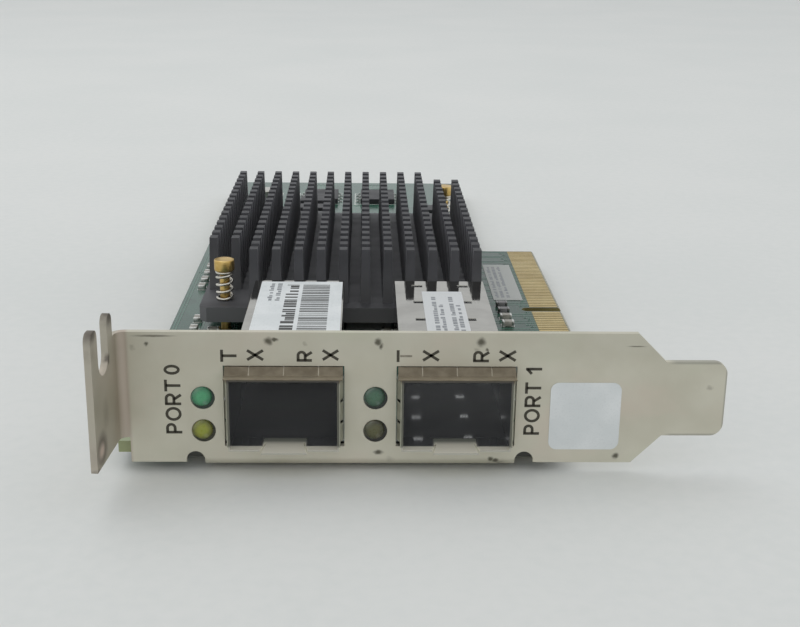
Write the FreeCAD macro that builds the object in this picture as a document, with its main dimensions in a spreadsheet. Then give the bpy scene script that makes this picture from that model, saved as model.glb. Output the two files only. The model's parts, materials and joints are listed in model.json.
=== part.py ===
"""Low-profile host adapter card with two optical module ports.

Millimetres, +Z up. X runs along the bracket from its tab to its tongue, Y from the bracket's outer face
to the board's rear edge, and Z away from the board's component face. The origin lies midway between the
two ports, on the bracket's outer face and level with the component face.
"""
import FreeCAD, Part
import math
import os
import re
import Sketcher

SIZES = {
    # Circuit board
    "board_thickness": 1.57,
    "board_left": 32.9,
    "board_edge": 33.8,
    "board_front": 1.2,
    "board_rear": 165.5,
    "board_corner": 1.2,
    "connector_start": 46.6,
    "connector_length": 52.2,
    "connector_depth": 8.25,
    "rear_step": 11.0,
    "key_offset": 11.65,
    "key_width": 1.9,
    "key_depth": 7.0,
    "edge_bevel": 0.4,
    # Gold edge contacts
    "contact_pitch": 1.0,
    "contact_width": 0.7,
    "contact_length": 4.9,
    "contact_thickness": 0.05,
    "contact_setback": 0.55,
    "short_run_count": 11,
    "long_run_count": 38,
    # Bracket sheet
    "sheet_thickness": 0.86,
    "bracket_length": 79.2,
    "bracket_width": 18.42,
    "tab_reach": 33.1,
    "tab_bend_radius": 1.2,
    "tab_lean": 4.0,
    "tab_depth": 11.43,
    "tab_bottom": 1.07,
    "tab_top": 18.72,
    "tab_corner": 1.1,
    "slot_width": 4.42,
    "slot_reach": 6.35,
    "slot_floor": 12.02,
    "lobe_start": 1.8,
    "tongue_width": 10.19,
    "tongue_length": 8.0,
    "tongue_corner": 1.7,
    "free_edge_rise": 0.55,
    "notch_left": 22.7,
    "notch_right": 20.2,
    "notch_radius": 1.2,
    "notch_rise": 0.3,
    "flange_bend_radius": 0.3,
    "flange_depth": 5.0,
    "boss_height": 0.55,
    "boss_side": 5.0,
    "ear_half": 3.2,
    "ear_front": 3.0,
    "ear_corner": 1.5,
    # Ports and lamp holes in the bracket
    "port_spacing": 22.2,
    "port_width": 15.5,
    "port_height": 11.1,
    "port_bottom": -0.18,
    "lamp_offset": 10.53,
    "lamp_low": 2.17,
    "lamp_high": 6.72,
    "lamp_diameter": 2.6,
    "lamp_hole_clearance": 0.25,
    "lamp_shift": 0.09,
    "lamp_lift": 0.19,
    # Bracket screws
    "screw_spread": 21.3,
    "screw_row": 11.0,
    "screw_diameter": 2.5,
    "screw_head_diameter": 4.6,
    "screw_head_height": 1.5,
    "screw_clearance": 0.06,
    "screw_hole_clearance": 0.2,
    "recess_width": 0.7,
    "recess_length": 2.6,
    "recess_depth": 0.8,
    # Module cages
    "cage_width": 14.2,
    "cage_height": 9.77,
    "cage_wall": 0.25,
    "cage_reach": 2.3,
    "cage_rear": 43.0,
    "latch_root": 0.1,
    "latch_root_width": 4.8,
    "latch_tip_width": 5.9,
    "latch_drop": 0.45,
    "latch_clearance": 0.15,
    "vent_width": 1.6,
    "vent_length": 1.2,
    "vent_spread": 3.6,
    "vent_first": 14.1,
    "vent_pitch": 8.5,
    "vent_count": 4,
    "cage_opening_margin": 0.8,
    "cage_pin_width": 0.8,
    "cage_pin_first": 8.0,
    "cage_pin_pitch": 15.6,
    "cage_pin_count": 3,
    "cage_pin_tail": 0.4,
    "cage_pin_clearance": 0.12,
    # Spring-finger collars
    "foil_thickness": 0.15,
    "collar_rear": 0.9,
    "collar_bottom": 0.6,
    "finger_gap": 0.16,
    "finger_tail": 4.2,
    "finger_crest": 0.9,
    "finger_clearance": 0.1,
    "finger_division": 4.45,
    "side_finger_height": 2.5,
    "side_finger_pitch": 2.9,
    "side_finger_count": 3,
    # Module connectors
    "socket_width": 11.8,
    "socket_front": 31.5,
    "socket_depth": 10.0,
    "socket_height": 5.8,
    "socket_slot_width": 9.4,
    "socket_slot_height": 1.3,
    "socket_slot_floor": 2.6,
    "socket_slot_depth": 7.0,
    "pin_pitch": 0.8,
    "pin_width": 0.4,
    "pin_thickness": 0.2,
    "pin_length": 5.5,
    "pin_setback": 1.0,
    "pin_count": 10,
    # Lamp holders
    "holder_width": 3.8,
    "holder_front": 1.0,
    "holder_depth": 5.6,
    "holder_height": 8.9,
    "lamp_tip": 0.45,
    "lead_width": 0.5,
    "lead_spread": 1.27,
    "lead_setback": 1.4,
    "lead_tail": 0.35,
    "lead_hole_clearance": 0.1,
    # Heat sink
    "sink_left": 27.5,
    "sink_right": 18.9,
    "sink_front": 43.6,
    "sink_rear": 111.0,
    "sink_floor": 2.5,
    "sink_base": 2.5,
    "sink_tip": 14.0,
    "sink_corner": 1.2,
    "fin_first": 26.0,
    "fin_pitch": 3.63,
    "fin_count": 13,
    "fin_root": 1.75,
    "fin_point": 1.3,
    "fin_start": 46.4,
    "row_pitch": 3.64,
    "row_count": 18,
    "row_gap": 1.8,
    "pin_pocket_columns": 2,
    "pin_pocket_rows": 2,
    # Spring-loaded push pins
    "pin_front_x": 23.7,
    "pin_front_y": 48.3,
    "pin_rear_x": 15.8,
    "pin_rear_y": 107.0,
    "pin_head_diameter": 3.3,
    "pin_head_height": 1.85,
    "pin_shank_diameter": 1.6,
    "pin_collar_diameter": 2.7,
    "pin_clearance": 0.2,
    "spring_length": 4.95,
    "spring_diameter": 2.95,
    "spring_wire": 0.5,
    "spring_turns": 4,
    "spring_facets": 8,
    # Controller chip under the sink
    "chip_x": -4.2,
    "chip_y": 77.0,
    "substrate_side": 31.0,
    "substrate_thickness": 1.1,
    "lid_side": 25.0,
    "pad_side": 23.0,
    "pad_thickness": 0.12,
    # Memory chips behind the sink
    "memory_x": -4.4,
    "memory_y": 147.0,
    "memory_spread": 13.4,
    "memory_width": 8.0,
    "memory_depth": 11.0,
    "memory_height": 1.2,
    "memory_lead_count": 3,
    "memory_lead_pitch": 3.2,
    # Regulators beside the rear edge
    "regulator_x": 14.5,
    "regulator_y": 122.0,
    "regulator_pitch": 10.0,
    "regulator_count": 2,
    "regulator_width": 4.0,
    "regulator_depth": 5.0,
    "regulator_height": 1.5,
    "regulator_lead_count": 2,
    "regulator_lead_pitch": 2.54,
    # Gull-wing leads
    "gull_width": 0.4,
    "gull_thickness": 0.2,
    "gull_rise": 0.6,
    "gull_reach": 1.0,
    "gull_foot": 0.5,
    # Power inductors
    "inductor_x": -25.0,
    "inductor_y": 120.0,
    "inductor_pitch": 10.0,
    "inductor_count": 2,
    "inductor_side": 7.0,
    "inductor_height": 3.2,
    "inductor_corner": 1.4,
    # Bulk capacitors
    "bulk_x": -12.0,
    "bulk_y": 120.0,
    "bulk_pitch": 7.4,
    "bulk_count": 3,
    "bulk_width": 7.0,
    "bulk_depth": 4.3,
    "bulk_height": 2.8,
    # Clock oscillator
    "clock_x": -24.5,
    "clock_y": 150.0,
    "clock_width": 7.0,
    "clock_depth": 5.0,
    "clock_height": 1.6,
    "clock_corner": 0.7,
    # Chip capacitors
    "chip_length": 2.0,
    "chip_width": 1.25,
    "chip_height": 0.9,
    "chip_cap": 0.4,
    "margin_column": 30.4,
    "margin_first": 71.0,
    "margin_pitch": 4.5,
    "margin_count": 5,
    "corner_column": 28.8,
    "corner_first": 46.6,
    "corner_pitch": 5.2,
    "corner_count": 2,
    "sink_row_y": 45.8,
    "sink_row_first": 25.5,
    "sink_row_pitch": 9.5,
    "sink_row_count": 4,
    "edge_column": 23.4,
    "edge_first": 50.2,
    "edge_pitch": 3.6,
    "edge_count": 4,
    "under_first": 9.0,
    "under_pitch": 9.6,
    "under_count": 2,
    "under_row_first": 72.0,
    "under_row_pitch": 10.0,
    "under_row_count": 2,
    # Labels
    "label_thickness": 0.1,
    "wide_label_left": 17.05,
    "wide_label_width": 12.8,
    "wide_label_front": 11.5,
    "wide_label_rear": 42.0,
    "slim_label_left": 8.1,
    "slim_label_width": 6.2,
    "slim_label_front": 11.5,
    "slim_label_rear": 36.9,
    "board_label_left": 22.4,
    "board_label_width": 5.2,
    "board_label_front": 64.5,
    "board_label_rear": 88.0,
    "sticker_left": 23.3,
    "sticker_width": 9.2,
    "sticker_bottom": -0.55,
    "sticker_height": 9.3,
    "sticker_corner": 1.1,
}

DOC = FreeCAD.newDocument("HostAdapter")
SHEET = DOC.addObject("Spreadsheet::Sheet", "Sizes")
SIZE_WORD = re.compile(r"[a-z][a-z0-9_]*")
SUB_PARTS = []
TINY = 1e-4
QUARTER_TURN = 90
FULL_TURN = 360
# Signs of the two mirrored sides, the port beside the tab first
SIDES = ("-", "+")
SIDE_NAMES = {"-": "left", "+": "right"}
# Share of a slot's width that rounds its end fully
FULL_ROUND = 0.49

# Levels and places that several pieces share, as formulas of the sizes
FLANGE_INNER = "(-board_thickness - boss_height)"
FLANGE_OUTER = f"({FLANGE_INNER} - sheet_thickness)"
FREE_EDGE = f"({FLANGE_OUTER} + free_edge_rise)"
PLATE_TOP = f"({FLANGE_OUTER} + bracket_width)"
PLATE_MIDDLE = f"(({FREE_EDGE} + {PLATE_TOP}) / 2)"
TONGUE_TIP = "(bracket_length - tab_reach)"
TONGUE_START = f"({TONGUE_TIP} - tongue_length)"
BEND_X = "(-tab_reach + sheet_thickness + tab_bend_radius)"
PORT_MIDDLE = "(port_spacing / 2)"
PORT_TOP = "(port_bottom + port_height)"
SHOULDER = "(board_edge - connector_depth)"
REAR_EDGE = "(board_edge - rear_step)"
CONNECTOR_END = "(connector_start + connector_length)"
KEY_START = "(connector_start + key_offset)"
KEY_END = f"({KEY_START} + key_width)"
SINK_TOP = "(sink_floor + sink_base)"
HEAD_FLOOR = f"({SINK_TOP} + spring_length)"
LAMP_HOLE = "(lamp_diameter / 2 + lamp_hole_clearance)"
LEAD_Y = "(holder_front + holder_depth - lead_setback)"
PIN_HOLE = "(pin_shank_diameter / 2 + pin_clearance)"
PIN_PLACES = (("front", "-pin_front_x", "pin_front_y"), ("rear", "pin_rear_x", "pin_rear_y"))


def fill_sheet():
    """Write every driving size into the sheet, one row each."""
    for row, (alias, amount) in enumerate(SIZES.items(), start=1):
        SHEET.set(f"A{row}", alias)
        SHEET.set(f"B{row}", str(amount))
        SHEET.setAlias(f"B{row}", alias)
    DOC.recompute()


def formula(text):
    """Point each size word of a formula at its cell."""
    def cell(match):
        word = match.group()
        return f"Sizes.{word}" if word in SIZES else word
    return SIZE_WORD.sub(cell, str(text))


def number(text):
    """Work out a formula with the sheet's present sizes."""
    return float(SHEET.evalExpression(formula(text)))


def bind(target, name, text):
    """Tie a property to a formula of the sizes."""
    target.setExpression(name, formula(text))


def place(target, x="0", y="0", z="0"):
    """Tie an object's position to formulas."""
    for axis, text in zip("xyz", (x, y, z)):
        bind(target, f"Placement.Base.{axis}", text)


def keep(target, label):
    """Name a finished sub-part and list it for export."""
    target.Label = label
    SUB_PARTS.append(target)
    return target


def new_body(name, several=False):
    """Start a body. With several it may hold separate solids."""
    body = DOC.addObject("PartDesign::Body", name)
    body.AllowCompound = several
    return body


def sketch(body, name, role, x="0", y="0", z="0"):
    """Start a sketch on one of the body's origin planes, moved in that plane's own axes."""
    drawing = body.newObject("Sketcher::SketchObject", name)
    plane = [feature for feature in body.Origin.OriginFeatures if feature.Role == role][0]
    drawing.AttachmentSupport = [(plane, "")]
    drawing.MapMode = "FlatFace"
    for axis, text in zip("xyz", (x, y, z)):
        bind(drawing, f"AttachmentOffset.Base.{axis}", text)
    return drawing


def constrain(drawing, text, kind, *where):
    """Add one dimension to a sketch, tied to a formula."""
    index = drawing.addConstraint(Sketcher.Constraint(kind, *where, number(text)))
    bind(drawing, f"Constraints[{index}]", text)


def pin_point(drawing, geometry, vertex, u, v):
    """Hold one point of a sketch at its place from the sketch's origin."""
    constrain(drawing, u, "DistanceX", -1, 1, geometry, vertex)
    constrain(drawing, v, "DistanceY", -1, 1, geometry, vertex)


def corner_cuts(before, corner, after, radius):
    """Return where a corner's round begins and ends, and its centre."""
    inward = (before - corner).normalize()
    outward = (after - corner).normalize()
    half = inward.getAngle(outward) / 2
    reach = radius / math.tan(half)
    middle = (inward + outward).normalize() * (radius / math.sin(half))
    return corner + inward * reach, corner + outward * reach, corner + middle


def outline(drawing, corners):
    """Draw a closed outline. A corner is (u, v), or (u, v, radius) where it is rounded."""
    points = [FreeCAD.Vector(number(corner[0]), number(corner[1]), 0) for corner in corners]
    total = len(corners)
    cuts = []
    for index, corner in enumerate(corners):
        if len(corner) == 2:
            cuts.append((points[index], points[index], None))
            continue
        following = points[(index + 1) % total]
        cuts.append(corner_cuts(points[index - 1], points[index], following, number(corner[2])))
    sides = []
    for index in range(total):
        side = Part.LineSegment(cuts[index][1], cuts[(index + 1) % total][0])
        sides.append(drawing.addGeometry(side, False))
    for index, corner in enumerate(corners):
        before, after = sides[index - 1], sides[index]
        if len(corner) == 2:
            drawing.addConstraint(Sketcher.Constraint("Coincident", before, 2, after, 1))
            pin_point(drawing, after, 1, *corner)
        else:
            round_corner(drawing, before, after, points[index], cuts[index], corner)


def round_corner(drawing, before, after, point, cut, corner):
    """Join two sides of an outline by a tangent arc, with the sharp corner kept as a guide point."""
    begin, end, centre = cut
    turn_left = (point - begin).cross(end - point).z > 0
    first, last = (begin, end) if turn_left else (end, begin)
    angles = [math.atan2(tip.y - centre.y, tip.x - centre.x) for tip in (first, last)]
    circle = Part.Circle(centre, FreeCAD.Vector(0, 0, 1), (begin - centre).Length)
    arc = drawing.addGeometry(Part.ArcOfCircle(circle, *angles), False)
    guide = drawing.addGeometry(Part.Point(point), True)
    start, finish = (1, 2) if turn_left else (2, 1)
    pin_point(drawing, guide, 1, corner[0], corner[1])
    drawing.addConstraint(Sketcher.Constraint("PointOnObject", guide, 1, before))
    drawing.addConstraint(Sketcher.Constraint("PointOnObject", guide, 1, after))
    drawing.addConstraint(Sketcher.Constraint("Tangent", before, 2, arc, start))
    drawing.addConstraint(Sketcher.Constraint("Tangent", after, 1, arc, finish))
    constrain(drawing, corner[2], "Radius", arc)


def rectangle(drawing, left, right, low, high, radius=None):
    """Draw a rectangle, with its corners rounded if a radius is given."""
    corners = [(left, low), (right, low), (right, high), (left, high)]
    outline(drawing, [corner + (radius,) if radius else corner for corner in corners])


def around(drawing, u, v, width, height, clearance):
    """Draw a rectangle about its middle, larger all round by a clearance."""
    wide, high = f"({width} / 2 + {clearance})", f"({height} / 2 + {clearance})"
    rectangle(drawing, f"{u} - {wide}", f"{u} + {wide}", f"{v} - {high}", f"{v} + {high}")


def circle(drawing, u, v, radius):
    """Draw a circle."""
    middle = FreeCAD.Vector(number(u), number(v), 0)
    index = drawing.addGeometry(Part.Circle(middle, FreeCAD.Vector(0, 0, 1), number(radius)), False)
    pin_point(drawing, index, 3, u, v)
    constrain(drawing, radius, "Radius", index)


def feature(body, kind, name, drawing, flip):
    """Start a sketch-based feature."""
    made = body.newObject(f"PartDesign::{kind}", name)
    made.Profile = drawing
    made.Reversed = flip
    return made


def pad(body, name, drawing, length, flip=False):
    """Raise a sketch into solid."""
    made = feature(body, "Pad", name, drawing, flip)
    bind(made, "Length", length)
    DOC.recompute()
    return made


def pocket(body, name, drawing, length, flip=False):
    """Cut a sketch out of the solid, and stop if it cut nothing."""
    before = body.Tip.Shape.Volume
    made = feature(body, "Pocket", name, drawing, flip)
    bind(made, "Length", length)
    DOC.recompute()
    if made.Shape.Volume >= before:
        raise RuntimeError(f"{name} cuts nothing")
    return made


def revolve(body, name, drawing, axis, angle=FULL_TURN, flip=False):
    """Turn a sketch about one of its own axes."""
    made = feature(body, "Revolution", name, drawing, flip)
    made.ReferenceAxis = (drawing, [axis])
    bind(made, "Angle", angle)
    DOC.recompute()
    return made


def repeat(body, name, original, drawing, axis, pitch, count, flip=False):
    """Repeat a feature in a row along one of a sketch's axes."""
    row = body.newObject("PartDesign::LinearPattern", name)
    row.Originals = [original]
    row.Direction = (drawing, [axis])
    row.Reversed = flip
    bind(row, "Length", f"({pitch}) * ({count} - 1)")
    bind(row, "Occurrences", count)
    body.Tip = row
    DOC.recompute()
    return row


def bevel(body, name, base, edges, size):
    """Chamfer the named edges of a feature."""
    made = body.newObject("PartDesign::Chamfer", name)
    made.Base = (base, edges)
    bind(made, "Size", size)
    DOC.recompute()
    return made


def edges_where(solid, test):
    """Name the edges of a shape that pass a test."""
    return [f"Edge{index}" for index, edge in enumerate(solid.Edges, start=1) if test(edge)]


def upright_edges(made):
    """Name the edges of a feature that run straight up."""
    def upright(edge):
        return edge.BoundBox.ZLength > TINY > max(edge.BoundBox.XLength, edge.BoundBox.YLength)
    return edges_where(made.Shape, upright)


def block(name, width, depth, height, x, y, z):
    """Make a box from its sizes and its lowest corner."""
    made = DOC.addObject("Part::Box", name)
    bind(made, "Length", width)
    bind(made, "Width", depth)
    bind(made, "Height", height)
    place(made, x, y, z)
    return made


def group(label, pieces):
    """Join separate solids under one name."""
    made = DOC.addObject("Part::Compound", label)
    made.Links = pieces
    DOC.recompute()
    return keep(made, label)


def make_circuit_board():
    """The board: outline with the edge connector's tongue, key notch, bevel and holes."""
    body = new_body("circuit_board")
    face = sketch(body, "board_outline", "XY_Plane")
    outline(face, [
        ("-board_left", "board_front"),
        (SHOULDER, "board_front"),
        (SHOULDER, "connector_start", "board_corner"),
        ("board_edge", "connector_start"),
        ("board_edge", KEY_START),
        ("board_edge - key_depth", KEY_START, f"key_width * {FULL_ROUND}"),
        ("board_edge - key_depth", KEY_END, f"key_width * {FULL_ROUND}"),
        ("board_edge", KEY_END),
        ("board_edge", CONNECTOR_END),
        (REAR_EDGE, CONNECTOR_END, "board_corner"),
        (REAR_EDGE, "board_rear - board_corner"),
        (f"{REAR_EDGE} - board_corner", "board_rear"),
        ("-board_left + board_corner", "board_rear"),
        ("-board_left", "board_rear - board_corner"),
    ])
    slab = pad(body, "board_slab", face, "board_thickness", flip=True)
    gold_edge = number("board_edge")
    on_gold_edge = edges_where(slab.Shape, lambda edge: (
        min(vertex.X for vertex in edge.Vertexes) > gold_edge - TINY
        and edge.Length > number("board_thickness") + TINY))
    bevel(body, "board_bevel", slab, on_gold_edge, "edge_bevel")
    holes = sketch(body, "board_holes", "XY_Plane")
    for side in SIDES:
        circle(holes, f"{side}screw_spread", "screw_row", "screw_diameter / 2 + screw_hole_clearance")
    for _, x, y in PIN_PLACES:
        circle(holes, x, y, PIN_HOLE)
    for port in SIDES:
        for lead in SIDES:
            lead_x = f"{port}{PORT_MIDDLE} - lamp_offset {lead} lead_spread / 2"
            around(holes, lead_x, LEAD_Y, "lead_width", "lead_width", "lead_hole_clearance")
    pocket(body, "board_drilling", holes, "board_thickness")
    pin_slots = sketch(body, "cage_pin_slots", "XY_Plane")
    for port in SIDES:
        for wall in SIDES:
            pin_x = f"{port}{PORT_MIDDLE} {wall} (cage_width - cage_wall) / 2"
            around(pin_slots, pin_x, "cage_pin_first", "cage_wall", "cage_pin_width", "cage_pin_clearance")
    slotted = pocket(body, "cage_pin_slotting", pin_slots, "board_thickness")
    repeat(body, "cage_pin_rows", slotted, pin_slots, "V_Axis", "cage_pin_pitch", "cage_pin_count")
    keep(body, "circuit_board")


def make_edge_contacts(label, top):
    """The gold contacts of one side of the edge connector, in a short and a long run."""
    body = new_body(label, several=True)
    level = "0" if top else "-board_thickness"
    runs = (
        ("short", "connector_start", KEY_START, "short_run_count"),
        ("long", KEY_END, CONNECTOR_END, "long_run_count"),
    )
    outer = "board_edge - contact_setback"
    for run, start, end, count in runs:
        first = f"({start} + {end} - contact_pitch * ({count} - 1)) / 2"
        face = sketch(body, f"{label}_{run}", "XY_Plane", z=level)
        low = f"{first} - contact_width / 2"
        rectangle(face, f"{outer} - contact_length", outer, low, f"{first} + contact_width / 2")
        finger = pad(body, f"{label}_{run}_finger", face, "contact_thickness", flip=not top)
        repeat(body, f"{label}_{run}_run", finger, face, "V_Axis", "contact_pitch", count)
    keep(body, label)


def make_bracket():
    """The bracket: one folded sheet with tab, tongue, ports, lamp holes and board flange."""
    body = new_body("bracket")
    tongue_low = f"{PLATE_MIDDLE} - tongue_width / 2"
    tongue_high = f"{PLATE_MIDDLE} + tongue_width / 2"
    chamfer_start = f"{TONGUE_START} - ({PLATE_TOP} - {FREE_EDGE} - tongue_width) / 2"
    flange_line = f"({FLANGE_INNER} + flange_bend_radius)"
    front = sketch(body, "plate_outline", "XZ_Plane")
    outline(front, [
        (BEND_X, PLATE_TOP),
        (BEND_X, FREE_EDGE),
        ("-notch_left", FREE_EDGE),
        ("-notch_left", flange_line),
        ("notch_right", flange_line),
        ("notch_right", FREE_EDGE),
        (chamfer_start, FREE_EDGE),
        (TONGUE_START, tongue_low),
        (TONGUE_TIP, tongue_low, "tongue_corner"),
        (TONGUE_TIP, tongue_high, "tongue_corner"),
        (TONGUE_START, tongue_high),
        (chamfer_start, PLATE_TOP),
    ])
    pad(body, "plate", front, "sheet_thickness", flip=True)
    make_tab(body)
    make_flange(body, flange_line)
    cuts = sketch(body, "plate_cuts", "XZ_Plane")
    for port in SIDES:
        middle = f"{port}{PORT_MIDDLE}"
        left, right = f"{middle} - port_width / 2", f"{middle} + port_width / 2"
        rectangle(cuts, left, right, "port_bottom", PORT_TOP)
        for height in ("lamp_low", "lamp_high"):
            circle(cuts, f"{middle} - lamp_offset + lamp_shift", f"{height} - lamp_lift", LAMP_HOLE)
    pocket(body, "ports", cuts, "sheet_thickness")
    reliefs = sketch(body, "relief_notches", "XZ_Plane")
    for middle in ("-notch_left", "notch_right"):
        circle(reliefs, middle, f"{FREE_EDGE} + notch_rise", "notch_radius")
    pocket(body, "reliefs", reliefs, "sheet_thickness + flange_bend_radius")
    keep(body, "bracket")


def make_tab(body):
    """Bend the tab out of the plate's left end. Its slot is open at the component side."""
    bend = sketch(body, "tab_bend_section", "YZ_Plane", x="-tab_bend_radius", z=BEND_X)
    inner, outer = "tab_bend_radius", "tab_bend_radius + sheet_thickness"
    rectangle(bend, inner, outer, "tab_bottom", PLATE_TOP)
    revolve(body, "tab_bend", bend, "V_Axis", f"{QUARTER_TURN} - tab_lean")
    face = sketch(body, "tab_outline", "YZ_Plane",
                  x="-tab_bend_radius + tab_bend_radius * sin(tab_lean)",
                  z=f"{BEND_X} - tab_bend_radius * cos(tab_lean)")
    bind(face, "AttachmentOffset.Rotation.Axis.y", "-1")
    bind(face, "AttachmentOffset.Rotation.Axis.z", "0")
    bind(face, "AttachmentOffset.Rotation.Angle", "tab_lean")
    slot_middle = "-(slot_reach - tab_bend_radius)"
    slot_front = f"{slot_middle} - slot_width / 2"
    slot_back = f"{slot_middle} + slot_width / 2"
    tab_front = "-(tab_depth - tab_bend_radius)"
    lobe_back = "-(lobe_start - tab_bend_radius)"
    slot_round = f"slot_width * {FULL_ROUND}"
    outline(face, [
        ("0", "tab_bottom"),
        ("0", PLATE_TOP),
        (lobe_back, PLATE_TOP),
        (lobe_back, "tab_top", "tab_corner"),
        (slot_back, "tab_top", "tab_corner"),
        (slot_back, "slot_floor", slot_round),
        (slot_front, "slot_floor", slot_round),
        (slot_front, "tab_top", "tab_corner"),
        (tab_front, "tab_top", "tab_corner"),
        (tab_front, "tab_bottom"),
    ])
    pad(body, "tab", face, "sheet_thickness", flip=True)


def make_flange(body, flange_line):
    """Bend the board flange back from the plate's lower edge, with two ears and their square bosses."""
    bend_y = "(sheet_thickness + flange_bend_radius)"
    left, right = "-notch_left + notch_radius", "notch_right - notch_radius"
    bend = sketch(body, "flange_bend_section", "XY_Plane", y=bend_y, z=flange_line)
    rectangle(bend, left, right, f"-{bend_y}", "-flange_bend_radius")
    revolve(body, "flange_bend", bend, "H_Axis", QUARTER_TURN)
    face = sketch(body, "flange_outline", "XY_Plane", z=FLANGE_OUTER)
    ear_rear = "screw_row + ear_half"
    outer, inner = "(screw_spread + ear_half)", "(screw_spread - ear_half)"
    outline(face, [
        (left, bend_y),
        (right, bend_y),
        (right, "ear_front"),
        (outer, "ear_front"),
        (outer, f"{ear_rear} - ear_corner"),
        (f"{outer} - ear_corner", ear_rear),
        (f"{inner} + ear_corner", ear_rear),
        (inner, f"{ear_rear} - ear_corner"),
        (inner, "flange_depth"),
        (f"-{inner}", "flange_depth"),
        (f"-{inner}", f"{ear_rear} - ear_corner"),
        (f"-({inner} + ear_corner)", ear_rear),
        (f"-({outer} - ear_corner)", ear_rear),
        (f"-{outer}", f"{ear_rear} - ear_corner"),
        (f"-{outer}", "ear_front"),
        (left, "ear_front"),
    ])
    pad(body, "flange", face, "sheet_thickness")
    bosses = sketch(body, "boss_pads", "XY_Plane", z=FLANGE_INNER)
    taps = sketch(body, "boss_taps", "XY_Plane", z="-board_thickness")
    for side in SIDES:
        around(bosses, f"{side}screw_spread", "screw_row", "boss_side", "boss_side", "0")
        circle(taps, f"{side}screw_spread", "screw_row", "screw_diameter / 2 + screw_clearance")
    pad(body, "bosses", bosses, "boss_height")
    pocket(body, "taps", taps, "boss_height + sheet_thickness")


def make_bracket_screws():
    """Pan-head screws that hold the board down on the flange's bosses."""
    screws = []
    for side in SIDES:
        name = f"screw_{SIDE_NAMES[side]}"
        body = new_body(name)
        half = sketch(body, f"{name}_profile", "XZ_Plane")
        outline(half, [
            ("0", FLANGE_OUTER),
            ("screw_diameter / 2", FLANGE_OUTER),
            ("screw_diameter / 2", "0"),
            ("screw_head_diameter / 2", "0"),
            ("screw_head_diameter / 2", "screw_head_height"),
            ("0", "screw_head_height"),
        ])
        revolve(body, f"{name}_turned", half, "V_Axis")
        for turn in ("across", "along"):
            cross = sketch(body, f"{name}_recess_{turn}", "XY_Plane", z="screw_head_height")
            long_half, short_half = "recess_length / 2", "recess_width / 2"
            wide, deep = (long_half, short_half) if turn == "across" else (short_half, long_half)
            rectangle(cross, f"-{wide}", wide, f"-{deep}", deep)
            pocket(body, f"{name}_slot_{turn}", cross, "recess_depth")
        place(body, f"{side}screw_spread", "screw_row")
        screws.append(body)
    group("bracket_screws", screws)


def make_cage(label, port):
    """A module cage: folded tube, rear wall, latch tongue, vents, connector opening and board pins."""
    body = new_body(label)
    half, inner = "(cage_width / 2)", "(cage_width / 2 - cage_wall)"
    ceiling = "cage_height - cage_wall"
    length = "cage_rear + cage_reach"
    section = sketch(body, f"{label}_section", "XZ_Plane", z="cage_reach")
    rectangle(section, f"-{half}", half, "0", "cage_height")
    rectangle(section, f"-{inner}", inner, "cage_wall", ceiling)
    pad(body, f"{label}_tube", section, length, flip=True)
    rear = sketch(body, f"{label}_rear", "XZ_Plane", z="-cage_rear")
    rectangle(rear, f"-{half}", half, "0", "cage_height")
    pad(body, f"{label}_rear_wall", rear, "cage_wall")
    make_latch(body, label)
    under = sketch(body, f"{label}_under", "XY_Plane")
    side = f"({inner} - cage_opening_margin)"
    start = "socket_front - cage_opening_margin"
    end = "cage_rear - cage_wall - cage_opening_margin / 2"
    rectangle(under, f"-{side}", side, start, end)
    pocket(body, f"{label}_connector_opening", under, "cage_wall", flip=True)
    vents = sketch(body, f"{label}_vents", "XY_Plane", z="cage_height")
    for hand in SIDES:
        left = f"{hand}vent_spread - vent_width / 2"
        rectangle(vents, left, f"{left} + vent_width", "vent_first", "vent_first + vent_length")
    slots = pocket(body, f"{label}_vent_slots", vents, "cage_wall")
    repeat(body, f"{label}_vent_rows", slots, vents, "V_Axis", "vent_pitch", "vent_count")
    tails = sketch(body, f"{label}_tails", "XY_Plane")
    low, high = "cage_pin_first - cage_pin_width / 2", "cage_pin_first + cage_pin_width / 2"
    rectangle(tails, f"-{half}", f"-{inner}", low, high)
    rectangle(tails, inner, half, low, high)
    pins = pad(body, f"{label}_pins", tails, "board_thickness + cage_pin_tail", flip=True)
    repeat(body, f"{label}_pin_rows", pins, tails, "V_Axis", "cage_pin_pitch", "cage_pin_count")
    place(body, f"{port}{PORT_MIDDLE}")
    keep(body, label)


def make_latch(body, label):
    """Cut a flared notch into a cage's floor, and put the latch tongue into it, sloping down to the front."""
    root, tip = "latch_root_width / 2", "latch_tip_width / 2"
    mouth = sketch(body, f"{label}_mouth", "XY_Plane")
    outline(mouth, [
        (f"-{root} - latch_clearance", "latch_root"),
        (f"-{tip} - latch_clearance", "-cage_reach"),
        (f"{tip} + latch_clearance", "-cage_reach"),
        (f"{root} + latch_clearance", "latch_root"),
    ])
    pocket(body, f"{label}_latch_notch", mouth, "cage_wall", flip=True)
    at_root = sketch(body, f"{label}_latch_root", "XZ_Plane", z="-latch_root")
    rectangle(at_root, f"-{root}", root, "0", "cage_wall")
    at_tip = sketch(body, f"{label}_latch_tip", "XZ_Plane", z="cage_reach")
    rectangle(at_tip, f"-{tip}", tip, "-latch_drop", "cage_wall - latch_drop")
    tongue = body.newObject("PartDesign::AdditiveLoft", f"{label}_latch_tongue")
    tongue.Profile = at_root
    tongue.Sections = [at_tip]
    DOC.recompute()


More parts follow.
